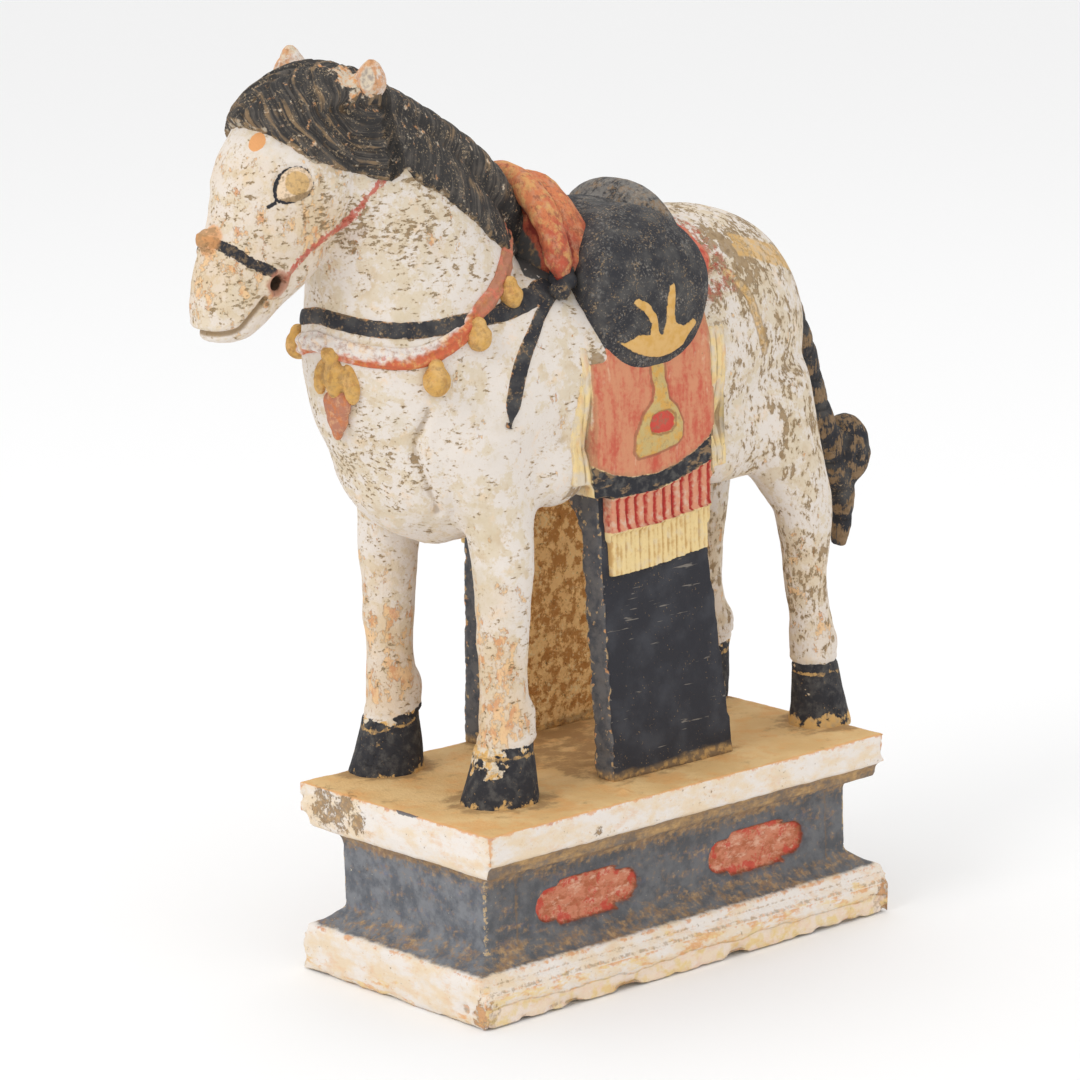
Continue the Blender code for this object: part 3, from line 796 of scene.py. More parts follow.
def formHanging(side):
    parts = []
    for name in ("frontBorder", "rearBorder", "panel", "redFringe", "creamFringe"):
        (front, low), (rear, high), outer, depth = hangingForm[name]
        corners = sorted((side * (outer - depth), side * outer))
        parts.append(block((corners[0], front, low), (corners[1], rear, high)))
    made = fuse("side_hanging_" + ("left" if side > 0 else "right"), parts, 0.95, 2)
    points = pointsOf(made)
    outward = side * points[:, 0]
    facing = ease((side * normalsOf(made)[:, 0] - 0.2) / 0.5)
    y, z = points[:, 1], points[:, 2]
    panelFoot, hemFoot, redFoot, creamFoot = (
        levelAt(points, name) for name in ("panelFoot", "hemFoot", "redFoot", "creamFoot")
    )
    ragged = 0.35 * unevenness(points, 3.0, 2, 3.3)
    wander = 0.5 * unevenness(points, 14, 2, 7.0)
    hemPart = ease((panelFoot - z + ragged) / 1.2) * ease((z - hemFoot) / 1.0)
    redPart = ease((hemFoot - z + ragged) / 1.2) * ease((z - redFoot) / 1.0)
    creamPart = ease((redFoot - z + ragged) / 1.2)
    redPleat = np.abs(np.sin(math.pi * (y + wander) / hangingForm["redPleat"])) ** 0.55
    creamPleat = np.abs(np.sin(math.pi * (y + 0.6 * wander) / hangingForm["creamPleat"])) ** 0.7
    stirrup = insideOf(points[:, 1:], hangingForm["stirrup"])
    hole = insideOf(points[:, 1:], hangingForm["stirrupHole"])
    frontEdge, rearEdge = (end + 0.4 * wander for end in hangingForm["panelEnds"])
    onBorder = (y < frontEdge) | (y > rearEdge)
    hemPart, redPart, creamPart = (part * ~onBorder for part in (hemPart, redPart, creamPart))
    rib = np.abs(np.sin(math.pi * (y + 0.3 * wander) / 3.1)) ** 0.6
    faces = hangingForm["faces"]
    target = np.where(onBorder, faces["border"] - 0.9 * (1 - rib), faces["panel"])
    target = target * (1 - hemPart) + (faces["hem"] + 0.3 * unevenness(points, 2.5, 2, 1.1)) * hemPart
    target = target * (1 - redPart) + (faces["redFringe"] - 1.5 * (1 - redPleat)) * redPart
    target = target * (1 - creamPart) + (faces["creamFringe"] - 0.9 * (1 - creamPleat)) * creamPart
    onPanel = (~onBorder) & (z > panelFoot)
    relief = 1.0 * ease((stirrup + 0.5) / 1.2) - 1.6 * ease((hole + 0.6) / 1.2)
    target = target + np.where(onPanel, relief, 0)
    target += 0.8 * nearLine(z - 150, 40) * (~onBorder)
    target -= 0.45 * np.maximum(z - 159, 0)  # it goes in under the saddle flap
    for i in np.nonzero((outward > 40) & (z > 128))[0]:
        hit = bodyTree.ray_cast(Vector((side * 90, y[i], z[i])), Vector((-side, 0, 0)))[0]
        level = abs(hit.x) + 0.9
        if onBorder[i]:
            target[i] += (level - 0.8 * (1 - rib[i]) - target[i]) * min((z[i] - 128) / 10, 1)
        else:
            target[i] = max(target[i], level)
    shiftOut = (target - outward) * facing * (outward > 44)
    points[:, 0] += side * shiftOut
    tuck = ease((z - 171.5) / 4) * ease((-17 - y) / 5) * ~onBorder + ease((z - 178) / 6) * onBorder
    tuck = np.maximum(tuck, ease((-36.5 + 6 * ease((z - 140) / 40) - y) / 1.5) * (z > 136))
    points[:, 0] -= side * 12 * tuck
    # feet of the fringes rise towards the rear
    foot = creamFoot + 0.5 * unevenness(points, 4, 2, 9.0)
    low = z < foot
    points[low, 2] = foot[low] + (z[low] - foot[low]) * 0.12
    moveTo(made, points)
    push(made, 0.1 * unevenness(points, 3, 2, 4.0))
    keepRelief(made)
    within = np.minimum(y - frontEdge, rearEdge - y)
    keep(made, "panel", np.minimum(z - panelFoot, within))
    keep(made, "hem", np.minimum(within, np.minimum(panelFoot - z, z - hemFoot)))
    keep(made, "redFringe", np.minimum(within, np.minimum(hemFoot - z, z - redFoot)))
    keep(made, "creamFringe", redFoot - z)
    keep(made, "stirrup", stirrup)
    keep(made, "hole", hole)
    keep(made, "pleat", np.where(z > redFoot, redPleat, creamPleat))
    return made


hangingPieces = [formHanging(side) for side in (1, -1)]
print("hangings done", [len(p.data.polygons) for p in hangingPieces])

# harness

harness = {
    "axis": -74.0,  # the upright line that angles turn about, at this y
    "breast": (
        (0, 199.5), (15, 197.4), (29, 195.3), (44, 194), (60, 194.2), (75, 195), (102, 195.8),
        (118, 197.6), (134, 200.5), (147, 202.5),
    ),
    "breastHalf": 3.9,
    "collar": (
        (0, 189.4), (15, 186.8), (25, 185), (40, 183.5), (50, 183.6), (60, 185.5), (73, 189.6), (88, 197),
        (109, 205), (127, 214), (150, 223), (180, 228),
    ),
    "collarHalf": 5.0,
    "bells": (
        (59, 174, 5.5), (87, 188.8, 5.1), (119, 202, 5.0), (-31, 184, 5.3), (-60, 176, 5.8),
        (-88, 189, 5.6), (-119, 202, 5.2),
    ),
    "knots": (
        ((33, -27, 204.5), (7, 5.2, 4.4)), ((37, -32, 201.5), (5, 4.6, 3.6)),
        ((28, -24, 208), (8, 3.6, 3.6)),
    ),
    # lumps of the pendant: angle, height, radii, lift, tilt
    "petals": (
        (9, 176, (4.6, 3.6, 9), 0, 0), (1, 175.5, (3.2, 3.0, 7.5), 0, 14),
        (17, 173.6, (3.8, 3.2, 8.5), 0, -12), (8.5, 185, (4.6, 3.6, 4), 0.6, 0),
    ),
    "tufts": (
        (8.5, 165, (8, 3.0, 6.4), 0, 0), (8, 160, (6.2, 2.7, 7), 0, 0), (6.5, 155.5, (3, 2.2, 5.6), 0, 0),
    ),
    "strapEnd": (
        (-24.8, 203.5), (-35, 199), (-43.8, 193.8), (-50.1, 187.7), (-56.3, 180.7), (-60.5, 173.3),
        (-63.3, 165.6), (-65.8, 156.9), (-67, 151.8),
    ),
}


def onTrunk(angle, height):
    turn = math.radians(angle)
    out = Vector((math.sin(turn), -math.cos(turn), 0))
    hit = trunkTree.ray_cast(Vector((0, harness["axis"], height)) + out * 90, -out)[0]
    spot = bodyTree.find_nearest(hit)[0]
    return hit + (spot - hit) * 0.9, out


def heightAt(route, angle):
    padded = (route[0], *route, route[-1])
    for i in range(len(route) - 1):
        start, end = route[i][0], route[i + 1][0]
        if angle <= end:
            return between(*padded[i : i + 4], (angle - start) / (end - start))[1]
    return route[-1][1]


def gridOf(name, columns, rows):
    nothingSelected()
    bpy.ops.mesh.primitive_grid_add(x_subdivisions=columns, y_subdivisions=rows, size=1)
    made = bpy.context.object
    made.name = made.data.name = name
    return made


# a band laid round the chest: every point of it is dropped on to the body, then lifted by its own roundness
def layBand(name, route, half, lift, thick, columns, rows):
    made = gridOf(name, columns, rows)
    last = route[-1][0]
    points = pointsOf(made)
    laid = []
    for u, v, _ in points:
        angle = 2 * u * last
        height = heightAt(route, abs(angle)) + 2 * v * half
        spot, out = onTrunk(angle, height)
        laid.append(spot + out * lift * (1 - abs(2 * v) ** 3))
    moveTo(made, np.array(laid))
    keep(made, "along", points[:, 0])
    keep(made, "across", points[:, 1])
    useModifier(made, "SMOOTH", factor=0.5, iterations=2)
    useModifier(made, "SOLIDIFY", thickness=thick, offset=-1, use_even_offset=True)
    useModifier(made, "SUBSURF", levels=1, render_levels=1)
    return made


def formBreastBand():
    route, half = harness["breast"], harness["breastHalf"]
    made = layBand("breast_band", route, half, lift=1.2, thick=2.6, columns=160, rows=6)
    points = pointsOf(made)
    push(made, 0.25 * unevenness(points, 5, 3, 2.0))
    keepRelief(made)
    return made


def formCollar():
    route, half = harness["collar"], harness["collarHalf"]
    made = layBand("collar_ribbon", route, half, lift=2.3, thick=4.2, columns=230, rows=10)
    across, along = valuesOf(made, "across"), valuesOf(made, "along")
    points = pointsOf(made)
    strand = np.sin(across * 15 + along * 38 + unevenness(points, 9, 2) * 2.0)
    push(made, 0.45 * strand * ease((0.46 - np.abs(across)) / 0.1) + 0.35 * unevenness(points, 6, 3, 3.0))
    keepRelief(made)
    return made


breastPiece = formBreastBand()
collarPiece = formCollar()


def formBells():
    parts = []
    for angle, height, radius in harness["bells"]:
        spot, out = onTrunk(angle, height)
        middle = spot + out * radius * 0.3
        parts.append(lump(middle, (radius, radius, radius * 1.12)))
        neck = middle + Vector((0, 0, radius * 1.0))
        parts.append(lump(neck, (radius * 0.6, radius * 0.6, radius * 0.6)))
    made = fuse("harness_bells", parts, 0.7, 3)
    points = pointsOf(made)
    push(made, 0.25 * unevenness(points, 4, 3, 1.5))
    keepRelief(made)
    return made


bellsPiece = formBells()


def chestLump(angle, height, radii, lift, tilt):
    spot, out = onTrunk(angle, height)
    return lump(spot + out * lift, radii, turn=(0, tilt, 0))


def formPendant():
    flower = fuse("pendant_flower", [chestLump(*petal) for petal in harness["petals"]], 0.6, 2)
    tassel = fuse("pendant_tassel", [chestLump(*tuft) for tuft in harness["tufts"]], 0.6, 4)
    for made in (flower, tassel):
        points = pointsOf(made)
        push(made, 0.25 * unevenness(points, 3, 3, 1.5))
        keepRelief(made)
    return flower, tassel


flowerPiece, tasselPiece = formPendant()


def formStrapEnd(side):
    made = gridOf("strap_end_" + ("left" if side > 0 else "right"), 60, 6)
    keep(made, "across", pointsOf(made)[:, 1])
    route = np.array(smoothLine(harness["strapEnd"], 8))
    steps = lengthOf(np.diff(route, axis=0))
    gone = np.concatenate([[0], np.cumsum(steps)]) / steps.sum()
    laid = []
    for u, v, _ in pointsOf(made):
        t = u + 0.5
        y, z = (np.interp(t, gone, route[:, k]) for k in (0, 1))
        ahead = [np.interp(min(t + 0.02, 1), gone, route[:, k]) for k in (0, 1)]
        behind = [np.interp(max(t - 0.02, 0), gone, route[:, k]) for k in (0, 1)]
        run = Vector((ahead[0] - behind[0], ahead[1] - behind[1])).normalized()
        half = 1.9 + 1.9 * ease(t * 1.4) - 3.7 * ease((t - 0.86) / 0.14)
        y, z = y - run.y * 2 * v * half, z + run.x * 2 * v * half
        spot = bodyTree.ray_cast(Vector((side * 90, y, z)), Vector((-side, 0, 0)))[0]
        laid.append(spot + Vector((side, 0, 0)) * 1.1 * (1 - abs(2 * v) ** 3))
    moveTo(made, np.array(laid))
    useModifier(made, "SMOOTH", factor=0.5, iterations=1)
    useModifier(made, "SOLIDIFY", thickness=2.4, offset=-1 if side > 0 else 1)
    useModifier(made, "SUBSURF", levels=1, render_levels=1)
    facesOut(made)
    keepRelief(made)
    return made


strapEndPieces = [formStrapEnd(side) for side in (1, -1)]


def formKnots():
    parts = [lump(middle, radii, side) for middle, radii in harness["knots"] for side in (1, -1)]
    made = fuse("band_knots", parts, 0.8, 3)
    push(made, 0.5 * unevenness(pointsOf(made), 4, 3, 5.0))
    keepRelief(made)
    keep(made, "across", pointsOf(made)[:, 2] * 0)
    return made


knotPiece = formKnots()
print("harness done")

# support under the belly: two slabs and the arch between them

supportForm = {
    "low": (-46, -21, -1), "high": (49.5, 45.5, 124), "topScale": (0.885, 0.82), "topShift": (0, -6),
    "tunnelHalf": (36.5, 31), "spring": 96, "crown": 121, "middle": 1.5,
}


def formSupport():
    form = supportForm
    slab = block(form["low"], form["high"], form["topScale"], form["topShift"])
    halfFoot, halfSpring = form["tunnelHalf"]
    tunnel = block(
        (form["middle"] - halfFoot, -60, -10), (form["middle"] + halfFoot, 80, form["spring"]),
        (halfSpring / halfFoot, 1),
    )
    nothingSelected()
    bpy.ops.mesh.primitive_cylinder_add(
        vertices=64, radius=halfSpring, depth=140, location=(form["middle"], 10, form["spring"] - 0.01),
        rotation=(math.pi / 2, 0, 0),
    )
    arch = bpy.context.object
    arch.scale = (1, (form["crown"] - form["spring"]) / halfSpring, 1)
    applyPlace()
    cutAway(slab, tunnel)
    cutAway(slab, arch)
    made = fuse("belly_support", [slab], 1.25, 2)
    points = pointsOf(made)
    x, y, z = points.T
    inner = ease((form["tunnelHalf"][0] + 2.5 - np.abs(x - form["middle"])) / 2)
    amount = (0.25 + 0.75 * inner) * unevenness(points, 6, 3, 1.0) * 0.9
    frontEdge = ease((-y - 16) / 4)
    amount -= frontEdge * 0.5 * ease((unevenness(points, 7, 3, 9.0) - 0.15) / 0.3)
    amount += 0.25 * unevenness(points, 20, 2, 3.0)
    push(made, amount)
    keepRelief(made)
    x, y, z = pointsOf(made).T
    facing = normalsOf(made)
    front = ease((np.abs(facing[:, 1]) - 0.6) / 0.2)
    keep(made, "inside", form["tunnelHalf"][0] + 0.8 - np.abs(x - form["middle"]) - 60 * front)
    keep(made, "front", front)
    keep(made, "foot", 3.2 - z + 1.5 * ease(y / 40))
    return made


supportPiece = formSupport()
print("support done", len(supportPiece.data.polygons))

# plinth, in millimetres about its own middle on the floor

plinthForm = {
    "tiers": (  # low z, high z, half size at the foot, half size at the top
        (0, 12.9, (59, 111.5), (58.7, 111.8)),
        (12.7, 16.4, (56.6, 111.8), (56.2, 111.8)),
        (16.2, 20.2, (55.5, 111.7), (54.8, 111.4)),
        (20.0, 26.6, (52.6, 109), (45, 99)),
        (26.3, 56, (45, 99), (45, 99)),
        (55.5, 59.9, (45, 99), (54, 101.5)),
        (59.5, 65.9, (57, 106.4), (57, 107.8)),
        (65.7, 78.4, (60, 108), (60, 108)),
    ),
    "hollow": (34, 88, 67.4),
    "panelLength": 55.0, "panelHeight": 19.4, "panelDepth": 3.4, "panelInset": 4.6,
    "panels": (-44.1, 48.9), "panelMiddle": 37.95,
    "redBar": (15.7, 9.7), "redNeck": (20.2, 7.3),  # half length and half height of the red in a panel
    "uprightLines": (-82.5, 88), "footLines": (16.2, 18.4), "dadoLine": 52,
    "paintedLines": ((13.7, 0.2, 0.5), (16.9, 0.2, 0.3), (52, 0.3, 0.4)),  # height, waver, half width
    "chip": ((46, -111.5, 6), 3.6), "pellet": ((48.5, -28, 78.4), 3.4),
    "hollows": ((46, -60, 78.4), (-20, -70, 78.4)),
    # half width, half length, top, and the heights that the rim counts between
    "rims": ((60, 108, 78.4, 64.5, 99), (58.9, 111.6, 12.9, -9, 13.4), (55, 111.5, 20.2, 13.4, 21.5)),
    # spots where the white is gone, each with its reach
    "losses": (
        (-44, -108, 74, 13), (-36, -108, 68, 13), (-30, -108, 73, 13), (-23, -108, 68, 13),
        (-47, -108, 68, 13), (57, -111, 6, 13), (59, 108, 7, 13), (60, -52, 69, 5),
    ),
}


def panelCutter(side, along):
    form = plinthForm
    high, lobe = form["panelHeight"] / 2, form["panelHeight"] * 0.375
    inner, outer = sorted((side * (45 - form["panelDepth"]), side * 52))
    shoulder = form["panelLength"] / 2 - lobe
    middle, inset = form["panelMiddle"], form["panelInset"]
    bar = block(
        (inner, along - shoulder + inset, middle - high), (outer, along + shoulder - inset, middle + high),
    )
    neck = block((inner, along - shoulder, middle - lobe), (outer, along + shoulder, middle + lobe))
    parts = [bar, neck]
    for end in (-1, 1):
        nothingSelected()
        bpy.ops.mesh.primitive_cylinder_add(
            vertices=40, radius=lobe, depth=outer - inner,
            location=((inner + outer) / 2, along + end * shoulder, middle), rotation=(0, math.pi / 2, 0),
        )
        applyPlace()
        parts.append(bpy.context.object)
    return parts


def formPlinth():
    form = plinthForm
    tiers = []
    for low, high, (a, b), (c, d) in form["tiers"]:
        tiers.append(block((-a, -b, low), (a, b, high), (c / a, d / b)))
    only(*tiers)
    bpy.ops.object.join()
    solid = bpy.context.object
    useModifier(solid, "REMESH", mode="VOXEL", voxel_size=1.3)
    half, halfLong, top = form["hollow"]
    cutAway(solid, block((-half, -halfLong, -5), (half, halfLong, top), (0.9, 0.95)))
    for side in (1, -1):
        for along in form["panels"]:
            for cutter in panelCutter(side, along):
                cutAway(solid, cutter)
    made = fuse("plinth_body", [solid], 1.3, 2)
    points = pointsOf(made)
    x, y, z = points.T
    outside = ease((np.maximum(np.abs(x) - 38, np.abs(y) - 92)) / 3)
    longSide = ease((np.abs(x) - 43) / 2) * (np.abs(y) < 110)
    fromPanel = np.full(len(points), -50.0)
    up = np.abs(z - form["panelMiddle"])
    barLong, barHigh = form["redBar"]
    neckLong, neckHigh = form["redNeck"]
    for middle in form["panels"]:
        along = np.abs(y - middle)
        bar = np.minimum(barLong - along, barHigh - up)
        bar = np.maximum(bar, np.minimum(neckLong - along, neckHigh - up))
        lobe = neckHigh - np.hypot(np.maximum(along - neckLong, 0), up)
        fromPanel = np.maximum(fromPanel, np.maximum(bar, lobe))
    fromPanel = np.where((np.abs(x) > 40) & (np.abs(x) < 48), fromPanel, -50)
    amount = 0.35 * unevenness(points, 16, 3) * outside + 0.12 * unevenness(points, 3, 2, 2.0)
    amount += 0.5 * unevenness(points, 4, 3, 6.0) * ease(fromPanel / 2)
    ragged = unevenness(points, 9, 3, 11.0)
    wavy = unevenness(points, 15, 2, 17.0)
    amount -= 2.0 * ease((wavy + 0.1) / 0.6) * ease((6.0 - z) / 5) * outside * (0.3 + 0.7 * longSide)
    shelf = z + 1.6 * wavy + 0.9 * ragged  # worn layers of clay round the foot
    amount += 0.8 * (ease((shelf - 7.2) / 0.7) - 0.5) * ease((12 - z) / 2) * outside * longSide
    aboveFoot, belowSlab = ease((z - 24) / 2), ease((56 - z) / 3)
    for line in form["uprightLines"]:
        amount -= 0.5 * nearLine(y - line - 0.4 * ragged, 1.0) * longSide * aboveFoot * belowSlab
    amount -= 0.4 * nearLine(z - form["dadoLine"] - 0.3 * ragged, 0.9) * longSide
    for line in form["footLines"]:
        amount -= 0.5 * nearLine(z - line - 0.2 * ragged, 1.0) * longSide
    amount -= 2.6 * dab(points, *form["chip"])
    amount += 1.5 * dab(points, *form["pellet"])
    edge = np.full(len(points), 50.0)
    for half, long, top, low, high in form["rims"]:
        inTier = (z > low) & (z < high)
        fromSide = np.minimum(np.abs(half - np.abs(x)), np.abs(long - np.abs(y)))
        rim = np.minimum(np.hypot(fromSide, top - z), np.hypot(half - np.abs(x), long - np.abs(y)))
        if top < 13:  # at the ends of the foot only the corners count
            rim = np.where(np.abs(y) > 109, np.maximum(rim, np.abs(half - np.abs(x))), rim)
        edge = np.where(inTier, np.minimum(edge, rim), edge)
    dadoCorner = np.hypot(45 - np.abs(x), 99 - np.abs(y)) + 0.8
    edge = np.minimum(edge, np.where((z > 24) & (z < 56), dadoCorner, 50))
    for spot in form["hollows"]:
        amount -= 0.3 * dab(points, spot, 14)
    corners = ease((np.abs(x) - 54) / 5) * ease((np.abs(y) - 102) / 6)
    amount -= 1.2 * corners * ease((unevenness(points, 5, 3, 3.3) + 0.1) / 0.4)
    push(made, amount)
    keepRelief(made)
    keep(made, "panel", fromPanel)
    # how near the plinth's top lies to the hooves and the support, for the smears and painted shade round
    # them
    feet = [np.array(horseForm[name][-1][:2]) for name in ("frontHoof", "rearHoof")]
    feet += [foot * (-1, 1) for foot in feet]
    near = np.min([np.hypot(x + 14 - foot[0], y - foot[1]) - 17 for foot in feet], axis=0)
    fromSupport = np.hypot(np.maximum(np.abs(x + 14) - 47, 0), np.maximum(np.abs(y - 12) - 33, 0))
    near = np.minimum(near, fromSupport)
    keep(made, "contactSmearAndShade", ease(1 - near / 11))
    keep(made, "edge", edge)
    keep(made, "shelf", np.where(z < 12.6, shelf, 30.0) + 30 * (1 - longSide))
    lines = [np.abs(z - line - waver * ragged) - half for line, waver, half in form["paintedLines"]]
    for line in form["uprightLines"]:
        lines.append(np.where((z > 24) & (z < 56), np.abs(y - line - 0.4 * ragged) - 0.5, 9.0))
    keep(made, "scored", 1 - np.min(lines, axis=0) - 9 * (1 - longSide))
    keep(made, "dab", np.where(y < -106.8, 1 - np.hypot((x - 8) / 8, (z - 78.2) / 1.2), -5))
    keep(made, "level", z)
    facing = np.abs(normalsOf(made))
    keep(made, "end", ease((facing[:, 1] - facing[:, 0]) / 0.3 + 0.5))
    keep(made, "hidden", ease((np.minimum(36 - np.abs(x), 90 - np.abs(y))) / 2) * (z < 69))
    keep(made, "loss", np.max([dab(points, spot, reach) for *spot, reach in form["losses"]], axis=0))
    return made


plinthPiece = formPlinth()
print("plinth done", len(plinthPiece.data.polygons))

# where the paint lies on the body

bodyPaint = {
    "thinned": 0.69,
    "coronets": (23.6, 27.4),
    "withersPatch": ((-41, 207), (-33, 203.5), (-22, 205.5), (-8, 212), (-16, 224), (-34, 217)),
    "crupper": ((66, 207.5), (71, 206.5), (88, 201), (101, 197), (112, 192), (122, 186)),
    "crupperHalf": 4.4,
    "thighStrap": ((55, 198), (59, 194.5), (63.5, 188), (66, 180), (68.5, 172), (71, 164.5)),
    "thighStrapHalf": 2.3,
    "redRump": ((20, 235), (40, 227), (48, 222), (54, 214), (57, 203), (57, 192), (44, 188), (20, 200)),
    "buckle": ((0, -124, 236), 7),
    "chippedHoof": (-80, 18, 9, 1.2),  # only on the near front hoof
    # spots in the side view (y, z, reach, strength)
    "flecks": (
        (-24, 171, 13, 0.5), (-150, 232, 34, 0.14), (-92, 238, 36, 0.34), (-118, 236, 16, 0.28),
        (-136, 244, 20, 0.15), (-168, 216, 22, 0.2), (-112, 140, 28, 0.3), (-120, 170, 16, 0.1),
        (82, 192, 52, 0.42), (60, 204, 26, 0.3), (95, 130, 46, 0.38), (100, 64, 38, 0.5),
        (-66, 60, 36, 0.1), (-58, 165, 32, -0.22), (-70, 130, 26, -0.1), (-45, 195, 18, -0.15),
        (56, 150, 22, 0.1),
    ),
    "wear": (
        (-76, 27, 9, 0.5), (115, 16, 4.5, 1.3), (-152, 234, 40, 0.6), (-172, 212, 26, 0.3),
        (-128, 232, 20, 0.3), (98, 60, 34, 0.25), (-72, 70, 40, 0.14), (-178, 206, 16, 0.1),
        (-182, 225, 14, 0.3), (-140, 240, 12, 0.5), (-162, 262, 12, 0.3), (-88, 224, 9, 0.55),
        (-67, 48, 16, 0.5), (-76, 84, 13, 0.4), (-77, 62, 16, 0.55), (-73, 36, 13, 0.65),
        (-60, 33, 12, 0.35), (100, 40, 14, 0.4), (93, 72, 18, 0.3), (-92, 150, 14, 0.12),
        (-40, 150, 9, 0.4), (112, 200, 14, 0.4),
    ),
    "stains": (
        (58, 211, 9, 0.7), (66, 204, 9, 0.8), (48, 200, 7, 0.5), (74, 196, 8, 0.5), (-34, 121, 8, 0.7),
        (40, 190, 9, 0.5), (44, 178, 8, 0.6), (-30, 200, 6, 0.6), (-24, 173, 8, 0.75), (60, 178, 8, 0.4),
        (-85, 182, 3, 0.6), (-112, 180, 3.5, 0.7),
    ),
}


def spotsAt(side, spots):
    total = np.zeros(len(side))
    for y, z, reach, strength in spots:
        total += strength * ease(1.15 - lengthOf(side - (y, z)) / reach)
    return total


def paintBody():
    points = pointsOf(body)
    x, y, z = points.T
    across = np.abs(x)
    side = points[:, 1:]
    away = -20.0
    onCheek = across > 5
    outline = insideOf(side, smoothLine([*face["eyeOutline"], face["eyeOutline"][0]]))
    lineHalf = 0.22 + 0.42 * ease((-149.5 - y) / 5)
    eyeLine = np.maximum(lineHalf - np.abs(outline), 0.75 - toRoute(side, face["eyeCorner"]))
    keep(body, "eyeLine", np.where(onCheek, eyeLine, away))
    fromIris = lengthOf(side - face["iris"])
    keep(body, "iris", np.where(onCheek, np.minimum(outline, face["irisRadius"] - fromIris), away))
    keep(body, "eyeLow", np.where(onCheek, np.minimum(outline, 251.8 - z + 0.25 * (y + 149)), away))
    keep(body, "eye", np.where(onCheek, outline, away))
    buckle = dab(points * (0, 1, 1), *bodyPaint["buckle"])
    bridle = 1.4 + 1.7 * buckle - toRoute(side, smoothLine(face["bridle"]))
    keep(body, "bridle", np.where(across > 9, bridle, away))
    noseband = face["nosebandHalf"] - toRoute(side, smoothLine(face["noseband"]))
    keep(body, "noseband", np.where((y < -150) & (z > 215), noseband, away))
    keep(body, "bit", np.where(onCheek, -lengthOf(side - face["bit"]), away))
    keep(body, "mouth", np.where(y < -150, 1.3 - toRoute(side, smoothLine(face["mouth"])), away))
    keep(body, "knob", -lengthOf(points - horseForm["noseKnob"][0]))
    keep(body, "spot", 3.7 - lengthOf((points - face["spot"]) * (1.1, 1, 0.85)))
    front, rear = bodyPaint["coronets"]
    coronet = np.where(y < 0, front, rear)
    coronet += np.where(x < 0, np.where(y < 0, 1.5 + 0.2 * (y + 66), -2.6), 0)
    keep(body, "hoof", coronet - z)
    level = np.array(bodyPaint["crupper"], float)
    crupper = bodyPaint["crupperHalf"] - np.abs(z - np.interp(y, level[:, 0], level[:, 1]))
    strap = bodyPaint["thighStrapHalf"] - toRoute(side, smoothLine(bodyPaint["thighStrap"]))
    keep(body, "crupper", np.where(y > 66, crupper, away))
    keep(body, "strap", np.where(across > 34, strap, away))
    redRump = insideOf(side, bodyPaint["redRump"])
    keep(body, "redRump", np.where(across > 4, redRump, away))
    keep(body, "withers", np.where(across > 3, insideOf(side, bodyPaint["withersPatch"]), away))
    keep(body, "flecks", 0.36 + spotsAt(side, bodyPaint["flecks"]))
    nearHoof = spotsAt(side, [bodyPaint["chippedHoof"]]) * (x > 0)
    keep(body, "wear", spotsAt(side, bodyPaint["wear"]) + nearHoof)
    keep(body, "stains", spotsAt(side, bodyPaint["stains"]))
    keep(body, "upright", ease((y - 35) / 15))
    keepRelief(body)


# the head keeps its fine mesh and the rest is thinned
def thinBody():
    points = pointsOf(body)
    rest = np.nonzero((points[:, 1] > -105) | (points[:, 2] < 195))[0]
    body.vertex_groups.new(name="rest").add(rest.tolist(), 1.0, "REPLACE")
    useModifier(body, "DECIMATE", ratio=bodyPaint["thinned"], vertex_group="rest", vertex_group_factor=1000)
    body.vertex_groups.clear()


paintBody()
thinBody()
print("paint areas set")

# materials


def tint(red, green, blue):
    share = [c / 255 for c in (red, green, blue)]
    return (*[c / 12.92 if c < 0.04 else ((c + 0.055) / 1.055) ** 2.4 for c in share], 1)


